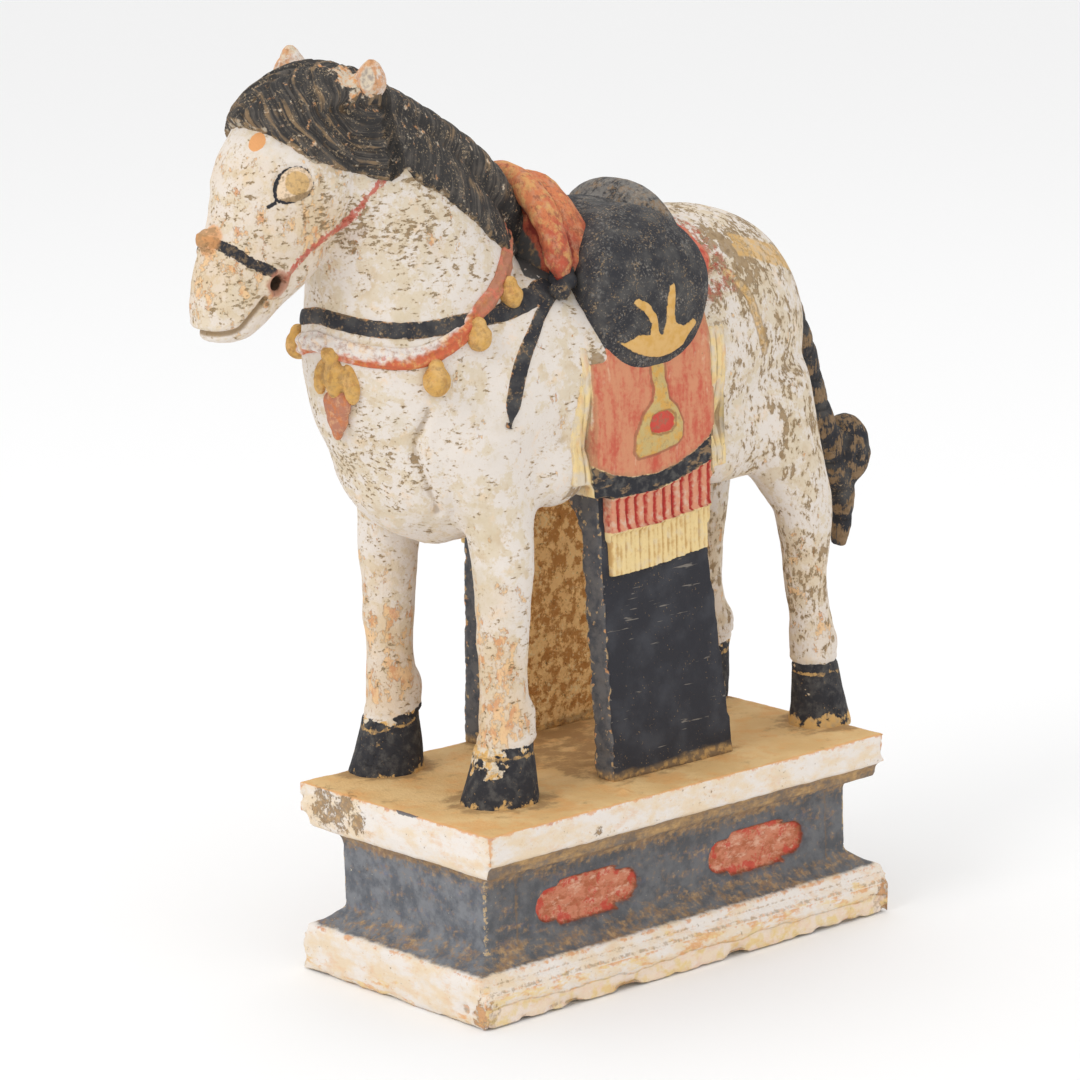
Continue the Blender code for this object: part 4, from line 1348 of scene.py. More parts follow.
colours = {
    "white": (224, 216, 209), "cream": (216, 202, 180), "peach": (230, 202, 168),
    "orange": (222, 160, 105), "terracotta": (196, 122, 80), "dirt": (152, 126, 92),
    "darkDirt": (120, 94, 62), "black": (50, 50, 54), "softBlack": (84, 82, 80),
    "abraded": (146, 120, 90), "red": (190, 82, 66), "salmon": (212, 122, 98), "bright": (200, 50, 46),
    "vermilion": (200, 104, 72), "ochre": (216, 174, 110), "gold": (208, 162, 88),
    "slabBlack": (50, 50, 55), "buff": (196, 166, 122), "tan": (198, 174, 140), "straw": (232, 206, 150),
    "brownPink": (178, 122, 98), "deepRed": (122, 40, 34), "gap": (66, 50, 36),
    # the body and ears
    "stainedSlip": (212, 184, 146), "dullSlip": (204, 188, 158), "wornPale": (230, 188, 136),
    "wornOrange": (206, 138, 84), "iris": (208, 170, 112), "rustPale": (206, 146, 96),
    "rust": (172, 116, 70), "earHollow": (168, 156, 146),
    # hair, tail and saddle
    "hairInk": (56, 54, 53), "hairDust": (92, 86, 80), "deepInk": (40, 39, 40),
    "saddleDust": (134, 130, 124), "paleDust": (172, 164, 152),
    # cloths, hangings and harness
    "clothOrange": (208, 126, 84), "clothRed": (184, 88, 66), "clothPink": (200, 148, 118),
    "clothBrown": (138, 84, 66), "panelPink": (208, 142, 108), "panelRed": (196, 96, 76),
    "fringeRed": (178, 58, 50), "fringePink": (212, 146, 116), "giltPale": (196, 172, 116),
    "giltRim": (142, 98, 70), "holeRed": (206, 84, 72), "holeBrown": (176, 104, 84),
    "collarOchre": (206, 138, 70), "collarDull": (190, 140, 96), "collarBrown": (156, 104, 76),
    "goldBrown": (150, 104, 58), "tasselPale": (214, 168, 130),
    # the support
    "slabInk": (66, 67, 72), "scratch": (120, 112, 104), "scuff": (150, 142, 132),
    "edgeGrey": (104, 102, 102), "edgeBlue": (76, 78, 84), "rawPale": (252, 214, 152),
    "rawOrange": (196, 142, 82), "rawCream": (248, 226, 176), "rawBrown": (104, 70, 38),
    # the plinth's dado, slab, foot, top and sunk panels
    "dadoBrown": (156, 124, 88), "dadoTan": (196, 160, 112), "dadoPale": (130, 132, 136),
    "dadoGrey": (98, 101, 107), "dadoBlue": (98, 110, 142), "dadoInk": (58, 58, 60),
    "slabWhite": (232, 224, 216), "slabCream": (230, 210, 182), "slabPeach": (226, 188, 150),
    "slabTan": (214, 178, 132), "shelfWhite": (238, 220, 204), "scoredBrown": (140, 114, 86),
    "topOchre": (216, 178, 122), "topPale": (224, 190, 136), "topOrange": (220, 162, 98),
    "topSmear": (160, 126, 84), "blueDab": (92, 94, 100), "sunkPink": (212, 138, 108),
    "sunkRed": (184, 108, 76), "sunkPale": (234, 190, 164), "sunkBright": (204, 74, 62),
    "sunkRim": (112, 62, 40),
}


# a socket of a node tree; sums and mixes of these make their own nodes
class Tone:
    def __init__(self, tree, socket=None):
        self.tree, self.socket = tree, socket

    def make(self, kind, settings=(), inputs=(), output=0):
        node = self.tree.nodes.new("ShaderNode" + kind)
        for name, value in dict(settings).items():
            setattr(node, name, value)
        for name, value in dict(inputs).items():
            if isinstance(value, Tone):
                self.tree.links.new(value.socket, node.inputs[name])
            else:
                node.inputs[name].default_value = value
        return Tone(self.tree, node.outputs[output])

    def maths(self, operation, first, second):
        return self.make("Math", {"operation": operation}, {0: first, 1: second})

    def __add__(self, other):
        return self.maths("ADD", self, other)

    __radd__ = __add__

    def __mul__(self, other):
        return self.maths("MULTIPLY", self, other)

    __rmul__ = __mul__

    def __sub__(self, other):
        return self.maths("SUBTRACT", self, other)

    def __rsub__(self, other):
        return self.maths("SUBTRACT", other, self)

    def most(self, other):
        return self.maths("MAXIMUM", self, other)

    def size(self):
        return self.most(0 - self)

    # 0 below the first value, 1 above the second
    def ramp(self, low, high):
        settings = {"interpolation_type": "SMOOTHSTEP"}
        return self.make("MapRange", settings, {"Value": self, "From Min": low, "From Max": high})


class Surface(Tone):
    def __init__(self, name, seed=0.0):
        self.material = bpy.data.materials.new(name)
        self.material.use_nodes = True
        super().__init__(self.material.node_tree)
        self.seed = seed
        place = self.make("TexCoord", output=3)
        self.place = self.make("VectorMath", {"operation": "SCALE"}, {0: place, "Scale": 1000.0})

    def read(self, name):
        return self.make("Attribute", {"attribute_name": name}, output=2)

    # noise from about -1 to 1, its grain in millimetres; long > 1 draws it out along that axis
    def grain(self, size, detail=3.0, long=(1, 1, 1), rough=0.55):
        self.seed += 7.3
        scale = tuple(1 / (size * k) for k in long)
        shift = (self.seed, self.seed * 0.6, -self.seed)
        spot = self.make("VectorMath", {"operation": "MULTIPLY_ADD"}, {0: self.place, 1: scale, 2: shift})
        inputs = {"Vector": spot, "Scale": 1.0, "Detail": detail, "Roughness": rough}
        return (self.make("TexNoise", {"noise_dimensions": "3D"}, inputs) - 0.5) * 4

    # each colour comes by its name or as a socket
    def mix(self, under, over, share):
        under, over = (tint(*colours[c]) if isinstance(c, str) else c for c in (under, over))
        return self.make("Mix", {"data_type": "RGBA"}, {"Factor": share, 6: under, 7: over}, 2)

    def finish(self, colour, height, roughness=0.86, specular=0.25):
        shader = self.tree.nodes["Principled BSDF"]
        self.tree.links.new(colour.socket, shader.inputs["Base Color"])
        bump = self.make("Bump", {}, {"Height": height, "Distance": 1.7 * mm, "Strength": 1.0})
        self.tree.links.new(bump.socket, shader.inputs["Normal"])
        shader.inputs["Roughness"].default_value = roughness
        shader.inputs["Specular IOR Level"].default_value = specular
        return self.material


# dirt and buff clay that shows wherever slip or paint is gone
def clayUnder(s):
    brown = s.mix("dirt", "darkDirt", s.grain(3.0, 4).ramp(-0.2, 0.8))
    return s.mix(brown, "buff", s.grain(6.0, 3).ramp(0.3, 1.1) * 0.5)


# cream slip with crisp whiter patches, stained peach and brown in the pores
def slipOver(s, whiter=0.0):
    base = s.mix("cream", "tan", s.grain(7, 5).ramp(-0.1, 0.9) * 0.6)
    patch = (s.grain(6.5, 6, rough=0.68) + s.grain(30, 2) * 0.5 + whiter).ramp(-0.3, 0.12)
    base = s.mix(base, "white", patch * 0.85)
    base = s.mix(base, "peach", s.grain(8, 6, rough=0.65).ramp(0.25, 0.9) * 0.6)
    speck = (s.grain(1.1, 3) + s.grain(9, 3) * 0.5).ramp(0.55, 0.95)
    return s.mix(base, "tan", speck * 0.6)


# crisp small losses: dashes lie along the body, and upright on the hindquarters
def fleckMask(s, density, upright):
    flat = s.grain(1.9, 4.0, (1.0, 2.0, 0.8), 0.64)
    tall = s.grain(2.2, 4.0, (0.9, 0.9, 1.6), 0.68)
    either = flat + (tall - flat) * upright
    either = either + s.grain(9, 3) * (upright * 0.25 + 0.42) + density
    return either.ramp(1.06, 1.3), either.ramp(0.7, 1.16)


def bodyMaterial():
    s = Surface("slipOnBody")
    fine, broad = s.read("fineDip"), s.read("broadDip")
    density = s.read("flecks")
    lost, soiled = fleckMask(s, density + fine * 0.9 + 0.14, s.read("upright"))
    stain = (s.read("stains") + s.grain(4.5, 5) * 0.42).ramp(0.5, 0.62)
    lost = lost.most(stain)
    clay = s.mix("dirt", clayUnder(s), soiled)
    wear = (s.read("wear") * 0.66 + s.grain(5.5, 7, (1, 1, 1.5), 0.74) * 1.1 - fine * 0.6).ramp(0.58, 0.72)
    stained = (s.read("wear") * 0.8).ramp(0.1, 0.8)
    slip = s.mix(slipOver(s, 0.35 - density * 0.6), "stainedSlip", stained * 0.62)
    slip = s.mix(slip, "tan", soiled * 0.7)
    slip = s.mix(slip, "dullSlip", s.grain(20, 6, rough=0.65).ramp(0.05, 0.75) * 0.5)
    worn = s.mix("wornPale", "wornOrange", s.grain(4.6, 6, (1, 1, 1.6), 0.7).ramp(-0.1, 0.4))
    colour = s.mix(slip, worn, wear * 0.74)
    # creases and dips are darkened towards the dirt colour: dirt with painted shade
    creviceDirtAndShade = (fine + broad * 0.15).ramp(0.12, 0.4)
    colour = s.mix(colour, "dirt", creviceDirtAndShade * 0.5)
    colour = s.mix(colour, clay, lost * 0.8)
    height = (1 - lost) * 0.16 - wear * 0.08 + s.grain(1.3, 4) * 0.025 + s.grain(7, 2) * 0.05
    edge = s.grain(1.6, 3) * 0.22
    chips = (s.grain(3.2, 5) + s.grain(1.1, 3) * 0.4).ramp(0.75, 0.95)

    def paint(under, over, area, low=-0.12, high=0.12, chipped=chips, strength=1.0):
        return s.mix(under, over, (area + edge).ramp(low, high) * (1 - chipped) * strength)

    faded = s.mix("ochre", "tan", s.grain(3, 5).ramp(-0.3, 0.6))
    colour = paint(colour, faded, s.read("crupper") + s.grain(5, 3) * 0.5, -0.5, 0.5, chips * 0.8, 0.8)
    colour = paint(colour, faded, s.read("strap") + s.grain(4, 3) * 0.4, -0.5, 0.5, chips * 0.6, 0.8)
    colour = paint(colour, "dirt", 0.7 - s.read("strap").size(), -0.1, 0.6, chips, 0.6)
    colour = paint(colour, "orange", s.read("spot"), chipped=chips * 0.2)
    lid = s.mix("peach", "dirt", s.grain(1.6, 4).ramp(-0.1, 0.7) * 0.8)
    colour = paint(colour, lid, s.read("eye"), -0.1, 0.5, chips * 0.4, 0.8)
    pupil = s.mix("iris", "dirt", s.grain(1.6, 5, rough=0.65).ramp(-0.2, 0.7) * 0.7)
    colour = paint(colour, pupil, s.read("iris"), -0.2, 0.5, chips * 0.4, 0.9)
    shade = s.mix("dirt", "darkDirt", s.grain(1.5, 3))
    colour = paint(colour, shade, s.read("eyeLow"), -0.2, 0.4, chips * 0.3, 0.85)
    colour = paint(colour, "black", s.read("eyeLine") + s.grain(1.5, 3) * 0.25, -0.1, 0.2)
    line = s.mix("red", "brownPink", s.grain(3, 4).ramp(-0.1, 0.7))
    line = s.mix(line, "deepRed", (s.grain(2.4, 4) + fine * 2).ramp(0.2, 0.8) * 0.5)
    bridle = s.read("bridle") + s.grain(2.0, 5, rough=0.7) * 1.9
    colour = paint(colour, line, bridle, -0.3, 0.6, chips, 0.85)
    band = s.mix("black", "dirt", (s.grain(1.6, 5, rough=0.68)).ramp(-0.2, 0.9) * 0.7)
    colour = paint(colour, band, s.read("noseband") + s.grain(2.4, 5, rough=0.65) * 0.5)
    bit = s.read("bit") + 5.4 + s.grain(2.5, 3) * 0.7
    colour = paint(colour, "brownPink", bit, -0.8, 0.8, chips * 0.5, 0.8)
    # the middle of the bit's hole is painted dark brown: painted shade inside the hole
    colour = paint(colour, "gap", s.read("bit") + 3.0, -0.3, 0.3, 0)
    colour = paint(colour, "dirt", s.read("mouth"), -0.4, 0.8, chips * 0.3, 0.85)
    colour = paint(colour, "orange", s.read("knob") + 6.0, -1.0, 0.5, 0, 0.8)
    colour = paint(colour, clay, s.read("knob") + 5.2 + s.grain(2.5, 4) * 1.6, -0.5, 0.8, 0, 0.6)
    rump = s.mix("brownPink", "red", s.grain(3, 4).ramp(0.0, 0.7))
    area = s.read("redRump") + s.grain(5, 5) * 3.5
    flaked = s.grain(2.6, 5, rough=0.68).ramp(-0.15, 0.2)
    colour = paint(colour, rump, area, -1.5, 1.5, flaked, 0.85)
    colour = paint(colour, "softBlack", s.read("withers"), -0.3, 0.3)
    onHoof = (s.read("hoof") + s.grain(6, 3) * 0.9 + edge).ramp(-0.2, 0.25)
    atCoronet = (2.0 - s.read("hoof").size()).ramp(-3, 2)
    bare = s.grain(5.5, 5) * 0.7 + s.read("wear") * 0.55 - fine * 1.2 + atCoronet * 0.3
    bare = bare.ramp(0.56, 0.68)
    hoofInk = s.mix("black", "softBlack", s.grain(4, 6, rough=0.65).ramp(-0.3, 0.8))
    hoofInk = s.mix(hoofInk, "dirt", (s.grain(1.3, 4) + s.grain(9, 3) * 0.4).ramp(0.6, 0.9) * 0.6)
    hoofInk = s.mix(hoofInk, s.mix("cream", "ochre", s.grain(3, 2).ramp(-0.3, 0.3)), bare)
    colour = s.mix(colour, hoofInk, onHoof)
    ring = 0.7 - (s.read("hoof") - 4.2 + s.grain(9, 2) * 0.8).size() + s.grain(3.4, 5, rough=0.65) * 1.5
    ring = ring.ramp(0.0, 0.5)
    colour = s.mix(colour, s.mix("dirt", "ochre", s.grain(3, 2).ramp(-0.3, 0.3)), ring * 0.75)
    foot = (s.read("hoof") - 23.4 + s.grain(5, 5, rough=0.65) * 6).ramp(-0.8, 1.4)
    colour = s.mix(colour, s.mix("ochre", "buff", s.grain(3, 4).ramp(-0.2, 0.8)), foot * 0.9)
    return s.finish(colour, height + onHoof * (1 - bare) * 0.1, 0.88)


def earMaterial():
    s = Surface("slipOnEars", 3.1)
    fine = s.read("fineDip")
    slip = s.mix(slipOver(s), "dirt", s.grain(2.0, 5, rough=0.65).ramp(0.1, 0.8) * 0.55)
    rust = s.mix("rustPale", "rust", s.grain(2, 3).ramp(-0.2, 0.6))
    colour = s.mix(slip, rust, (s.grain(3.2, 5, rough=0.65) * 0.8 - fine * 4).ramp(-0.25, 0.45) * 0.85)
    hollow = (s.read("inside") + s.grain(2, 3) * 0.08).ramp(0.02, 0.25)
    colour = s.mix(colour, s.mix("cream", "earHollow", s.grain(2.2, 3).ramp(-0.4, 0.6)), hollow)
    return s.finish(colour, s.grain(1.4, 4) * 0.05 + s.grain(4, 2) * 0.06)


# black paint that has worn through to brown on the ridges and is dusty in the dips
def inkOver(s, ridge, dust):
    ink = s.mix("black", "softBlack", s.grain(9, 5).ramp(-0.4, 0.9))
    speck = (s.grain(1.0, 4, rough=0.65) + s.grain(8, 3) * 0.45).ramp(0.35, 0.75)
    ink = s.mix(ink, s.mix("dirt", "tan", s.grain(1.6, 2)), speck * 0.6)
    worn = (ridge + s.grain(5, 5) * 0.33 + s.grain(1.4, 3) * 0.16).ramp(0.42, 0.62)
    ink = s.mix(ink, s.mix("abraded", "darkDirt", s.grain(2.2, 4).ramp(-0.2, 0.8)), worn * 0.85)
    return s.mix(ink, "dirt", (dust + s.grain(3, 4) * 0.25).ramp(0.4, 0.95) * 0.55), worn


def hairMaterial():
    s = Surface("blackHair", 11.0)
    fine, front, flow = s.read("fineDip"), s.read("front"), s.read("flow")
    drawn = s.make("VectorMath", {"operation": "SCALE"}, {0: s.place, "Scale": 0.05})
    strand = []
    for rate in (3.0, 9.0):  # broad and fine
        inputs = {"Vector": drawn, "W": flow * rate, "Scale": 1.0, "Detail": 4.0}
        strand.append((s.make("TexNoise", {"noise_dimensions": "4D"}, inputs) - 0.5) * 4)
    ink = s.mix("hairInk", "hairDust", (strand[1] + s.grain(7, 4) * 0.6).ramp(-0.4, 0.9))
    crest = (s.read("lock") - 0.72).size().ramp(0.2, 0.03) * front
    worn = crest * 0.42 + strand[0] * 0.3 + strand[1] * 0.3 + s.grain(9, 5) * 0.5
    worn = (worn - fine * 0.8 - front * 0.22).ramp(0.12, 0.62)
    brown = s.mix("abraded", "dirt", s.grain(2.2, 4).ramp(-0.2, 0.6))
    colour = s.mix(ink, brown, worn * 0.72)
    colour = s.mix(colour, "darkDirt", (fine * 2.4 + s.grain(3, 4) * 0.25).ramp(0.3, 0.9) * 0.6)
    speck = (s.grain(1.0, 4, rough=0.68) + s.grain(7, 3) * 0.4).ramp(0.35, 0.8)
    colour = s.mix(colour, "tan", speck * 0.62)
    bareRoot = (s.read("nearEar") + s.grain(4, 5, rough=0.65) * 0.7).ramp(0.25, 0.55)
    rootClay = s.mix("cream", "orange", s.grain(3, 5, rough=0.65).ramp(-0.3, 0.4))
    colour = s.mix(colour, rootClay, bareRoot * 0.9)
    hem = s.read("hem")
    rim = (0.9 - hem + s.grain(3, 4) * 1.6).ramp(0.4, 1.3) * 0.6
    colour = s.mix(colour, s.mix("dirt", "cream", s.grain(3, 3).ramp(-0.1, 0.5)), rim)
    height = strand[1] * 0.09 + strand[0] * 0.12 + s.grain(2.5, 4) * 0.05 - worn * 0.05
    return s.finish(colour, height, 0.84)


def tailMaterial():
    s = Surface("blackTail", 23.0)
    strand = s.grain(1.6, 4, (1, 1, 6), 0.62)
    ridge = s.read("fineDip") * -1.2 + s.read("coil").ramp(0.0, 0.4) * 0.42 + strand * 0.46 + 0.15
    colour, worn = inkOver(s, ridge, s.read("fineDip") * 1.5)
    colour = s.mix(colour, "deepInk", s.read("coil").ramp(-0.1, -0.5) * 0.7)
    return s.finish(colour, s.grain(1.4, 3, (1, 1, 3)) * 0.08 + s.grain(2.5, 4) * 0.06 - worn * 0.05, 0.84)


def saddleMaterial():
    s = Surface("blackSaddle", 31.0)
    roll = s.read("roll").ramp(-0.06, 0.06)
    ridge = roll * 0.5 + s.grain(26, 2) * 0.1 + s.read("broadDip") * -0.05
    colour, worn = inkOver(s, ridge, s.read("fineDip") * 2.0)
    # pale grey dust with a painted sheen, strongest towards the roll and high on the saddle
    dusty = s.grain(12, 5, rough=0.65) * 0.6 + roll * 0.5 + s.grain(1.8, 5, rough=0.68) * 0.6
    colour = s.mix(colour, "saddleDust", dusty.ramp(0.1, 0.8) * 0.75)
    colour = s.mix(colour, "paleDust", (s.grain(0.9, 3) + s.grain(14, 4) * 0.5).ramp(0.35, 1.0) * 0.4)
    speck = (s.grain(1.3, 4, rough=0.65) + s.grain(9, 3) * 0.45).ramp(0.5, 0.8)
    colour = s.mix(colour, "tan", speck * 0.3)
    gold = (s.read("trident") + s.grain(2.2, 4) * 0.35).ramp(-0.15, 0.2)
    gilt = s.mix("ochre", "gold", s.grain(4, 3).ramp(-0.4, 0.6))
    soiled = s.grain(2.0, 5, rough=0.68) + (0.5 - s.read("trident")) * 0.5
    gilt = s.mix(gilt, "dirt", soiled.ramp(0.2, 0.9) * 0.7)
    colour = s.mix(colour, gilt, gold * (1 - s.grain(1.5, 4).ramp(0.9, 1.2)))
    height = s.grain(2.2, 5) * 0.05 + s.grain(9, 3) * 0.1 + gold * 0.08 - worn * 0.06
    return s.finish(colour, height, 0.8, 0.3)


def frontClothMaterial():
    s = Surface("redPommelCloth", 41.0)
    fine, broad = s.read("fineDip"), s.read("broadDip")
    top = s.read("top")
    # the cloth is painted more orange and lighter on its top than down its front: painted light from above
    # on the red cloth
    red = s.mix("clothOrange", "clothRed", (s.grain(7, 5, (1, 1, 1.6), 0.65) + 0.5 - top).ramp(-0.4, 0.6))
    red = s.mix(red, "clothPink", s.grain(5, 6, rough=0.68).ramp(-0.1, 0.8) * 0.8)
    red = s.mix(red, "clothBrown", s.grain(3.0, 6, (1, 1, 1.5), 0.72).ramp(-0.05, 0.5) * 0.7)
    # ochre on the ridges and the top: dust with painted highlights
    dusty = s.grain(4, 5, rough=0.7) - fine * 3 - broad * 0.12 + top * 0.15
    red = s.mix(red, "ochre", dusty.ramp(0.25, 1.0) * 0.65)
    # deep red in the dips and in the fold's valley: painted shade
    deep = fine * 2.6 + broad * 0.9 + s.grain(6, 6, rough=0.68) * 0.8
    red = s.mix(red, "deepRed", deep.ramp(0.25, 0.75) * 0.8)
    red = s.mix(red, "bright", (broad * 0.3 + s.grain(7, 3) * 0.5).ramp(0.45, 0.8) * 0.5)
    inner = (s.read("inner") + s.grain(4, 3) * 0.6).ramp(-0.3, 0.4)
    colour = s.mix(red, s.mix("softBlack", "abraded", s.grain(3, 4).ramp(0.0, 0.8)), inner)
    return s.finish(colour, s.grain(2.4, 5) * 0.09 + s.grain(8, 3) * 0.1, 0.84)


def rearClothMaterial():
    s = Surface("redCantleCloth", 47.0)
    red = s.mix("salmon", "red", s.grain(5, 4).ramp(-0.3, 0.5))
    red = s.mix(red, "bright", (s.grain(4, 4)).ramp(0.4, 0.8) * 0.6)
    dusty = (s.grain(6, 5) + s.read("fade") * 1.6).ramp(0.2, 0.9)
    colour = s.mix(red, s.mix("buff", "dirt", s.grain(3, 4).ramp(-0.2, 0.6)), dusty * 0.85)
    return s.finish(colour, s.grain(2.4, 5) * 0.09 + s.grain(8, 3) * 0.12, 0.86)


def hangingMaterial():
    s = Surface("paintedHanging", 53.0)
    edge = s.grain(2.4, 4) * 0.4
    pleat = s.read("pleat")
    streak = s.grain(3.0, 4, (1, 1, 9))
    brushed = s.grain(6, 5, (1, 1, 2.5))
    cream = s.mix("cream", "straw", s.grain(6, 4).ramp(-0.6, 0.3))
    # the grooves between the border's ribs are darkened towards the dirt colour: dirt with painted shade
    grooveDirtAndShade = s.read("fineDip").ramp(0.03, 0.16)
    cream = s.mix(cream, "dirt", grooveDirtAndShade * 0.8)
    cream = s.mix(cream, "tan", s.grain(2.2, 5, (1, 1, 3), 0.65).ramp(0.0, 0.7) * 0.6)
    cream = s.mix(cream, "orange", (s.grain(5, 5, (1, 1, 2)) * 0.6).ramp(0.1, 0.6) * 0.5)
    cream = s.mix(cream, "dirt", s.grain(3, 5).ramp(0.6, 0.9) * 0.6)
    brushMarks = brushed * 0.7 + streak * 0.5 + s.grain(1.8, 5) * 0.4
    red = s.mix("panelPink", "panelRed", brushMarks.ramp(-0.4, 0.8))
    rubbed = streak * 0.8 + s.grain(14, 3) * 0.5 + s.grain(2.4, 5) * 0.3
    red = s.mix(red, "peach", rubbed.ramp(0.3, 1.2) * 0.6)
    red = s.mix(red, "bright", (brushed + s.grain(16, 2) * 0.4).ramp(0.75, 1.3) * 0.45)
    red = s.mix(red, "dirt", (s.grain(1.8, 4) + s.grain(13, 2) * 0.4).ramp(0.9, 1.1) * 0.7)
    red = s.mix(red, "dirt", (2.2 - s.read("panel") + edge * 3).ramp(0.0, 2.0) * 0.3)
    colour = s.mix(cream, red, (s.read("panel") + edge * 0.6).ramp(-0.2, 0.3))
    ink = s.mix("black", "softBlack", s.grain(3, 4).ramp(-0.2, 0.7))
    rubbed = s.grain(4, 5, (1, 1.6, 0.7)) - s.read("fineDip") * 2
    ink = s.mix(ink, "abraded", rubbed.ramp(0.25, 0.6) * 0.85)
    colour = s.mix(colour, ink, (s.read("hem") + edge).ramp(-0.25, 0.25))
    # the red fringe is pink and cream on its pleats' crests and deep red in their folds: painted light and
    # painted shade
    fringe = s.mix("fringeRed", s.mix("fringePink", "cream", s.grain(3, 4).ramp(-0.1, 0.8) * 0.5),
                   (pleat + s.grain(2, 4) * 0.25).ramp(0.45, 0.9))
    fringe = s.mix(fringe, "bright", (s.grain(5, 4) + s.grain(1.6, 3) * 0.3).ramp(0.35, 0.8) * 0.5)
    fringe = s.mix(fringe, "deepRed", (1 - pleat).ramp(0.55, 0.95) * 0.6)
    fringe = s.mix(fringe, "dirt", s.grain(5, 5).ramp(0.75, 0.95) * 0.7)
    colour = s.mix(colour, fringe, (s.read("redFringe") + edge).ramp(-0.2, 0.2))
    # the cream fringe is straw on its pleats' crests and a dirty ochre in their folds: painted light and
    # painted shade
    pale = s.mix(s.mix("dirt", "ochre", 0.75), "straw", (pleat + s.grain(4, 4) * 0.5).ramp(0.2, 0.8))
    pale = s.mix(pale, "cream", s.grain(5, 3).ramp(0, 1) * 0.5)
    pale = s.mix(pale, "dirt", s.grain(4, 5).ramp(0.8, 1.0) * 0.6)
    colour = s.mix(colour, pale, (s.read("creamFringe") + edge).ramp(-0.2, 0.2))
    gilt = s.mix("gold", "giltPale", s.grain(4, 4).ramp(-0.4, 0.4))
    gilt = s.mix(gilt, "dirt", (s.grain(2.2, 5, rough=0.65)).ramp(0.1, 0.8) * 0.6)
    colour = s.mix(colour, gilt, (s.read("stirrup") + edge * 0.5).ramp(-0.15, 0.2))
    rim = (0.9 - (s.read("stirrup") + 0.5).size() + edge).ramp(0.0, 0.6)
    holeRim = (0.7 - (s.read("hole") + 0.3).size() + edge).ramp(0.0, 0.5)
    colour = s.mix(colour, "giltRim", rim.most(holeRim) * 0.6)
    colour = s.mix(colour, s.mix("holeRed", "holeBrown", s.grain(2.4, 3).ramp(0.0, 0.7)),
                   (s.read("hole") + edge * 0.5).ramp(-0.05, 0.3))
    return s.finish(colour, s.grain(1.6, 4) * 0.05 + streak * 0.03 + s.grain(6, 3) * 0.07, 0.86)


def strapMaterial():
    s = Surface("blackStraps", 61.0)
    colour, worn = inkOver(s, s.read("fineDip") * -1.2 + 0.24, s.read("fineDip") * 1.2)
    side = s.read("across").size()
    rim = (side * 2 + s.grain(2.4, 5, rough=0.65) * 0.55).ramp(0.85, 1.1)
    colour = s.mix(colour, s.mix("orange", "cream", s.grain(2, 3).ramp(-0.2, 0.5)), rim * 0.7)
    return s.finish(colour, s.grain(2, 4) * 0.07 - worn * 0.04, 0.84)


def collarMaterial():
    s = Surface("redCollar", 67.0)
    fine = s.read("fineDip")
    along = s.read("along")
    run = along.size() * 2  # 0 at the chest, 1 at the withers
    mottle = s.grain(5, 5)
    pale = s.mix("white", "peach", s.grain(4, 4).ramp(-0.2, 0.8))
    pale = s.mix(pale, "red", (s.grain(3, 5) + s.grain(9, 2) * 0.4).ramp(0.55, 0.95) * 0.6)
    warm = s.mix("vermilion", "orange", s.grain(3, 4).ramp(0.0, 0.8))
    warm = s.mix(warm, "red", s.grain(5, 4).ramp(0.0, 0.8) * 0.7)
    warm = s.mix(warm, "collarOchre", s.grain(3.4, 6, (1, 1, 1.6), 0.7).ramp(0.0, 0.5) * 0.6)
    dull = s.mix("brownPink", "salmon", s.grain(4, 4).ramp(-0.2, 0.7))
    dull = s.mix(dull, "collarDull", s.grain(4, 6, rough=0.7).ramp(0.0, 0.6) * 0.6)
    low = s.read("across") * -1.6
    colour = s.mix(pale, warm, (run * 3.2 + mottle * 0.5 + low - 0.35).ramp(0.1, 0.7))
    colour = s.mix(colour, dull, (run + mottle * 0.06).ramp(0.44, 0.56))
    colour = s.mix(colour, "collarBrown", s.grain(2.6, 6, rough=0.7).ramp(-0.1, 0.6) * 0.55)
    colour = s.mix(colour, "dirt", (fine * 3 + s.grain(3, 4) * 0.25).ramp(0.35, 0.8) * 0.6)
    return s.finish(colour, s.grain(2.2, 4) * 0.08 + s.grain(5, 3) * 0.08, 0.84)


def goldMaterial():
    s = Surface("ochreGold", 71.0)
    gilt = s.mix("gold", "ochre", s.grain(5, 3).ramp(-0.4, 0.6))
    gilt = s.mix(gilt, "orange", s.grain(4, 4).ramp(0.3, 0.9) * 0.5)
    soil = (s.grain(2.6, 6, rough=0.68) + s.read("fineDip") * 3).ramp(-0.45, 0.8)
    colour = s.mix(gilt, "goldBrown", (s.grain(4, 6, rough=0.7) + 0.1).ramp(0.0, 0.6) * 0.5)
    colour = s.mix(colour, s.mix("dirt", "darkDirt", s.grain(2, 3).ramp(0.1, 0.9)), soil * 0.6)
    return s.finish(colour, s.grain(1.8, 4) * 0.06 + s.grain(5, 3) * 0.08, 0.78, 0.3)


def tasselMaterial():
    s = Surface("redTassel", 79.0)
    colour = s.mix("brownPink", "terracotta", s.grain(3, 4).ramp(-0.3, 0.5))
    colour = s.mix(colour, "tasselPale", s.grain(2.4, 6, rough=0.7).ramp(-0.1, 0.6) * 0.7)
    colour = s.mix(colour, "deepRed", (s.grain(4, 4) + s.read("fineDip") * 2).ramp(0.5, 1.0) * 0.5)
    return s.finish(colour, s.grain(1.8, 4) * 0.08 + s.grain(5, 3) * 0.06)


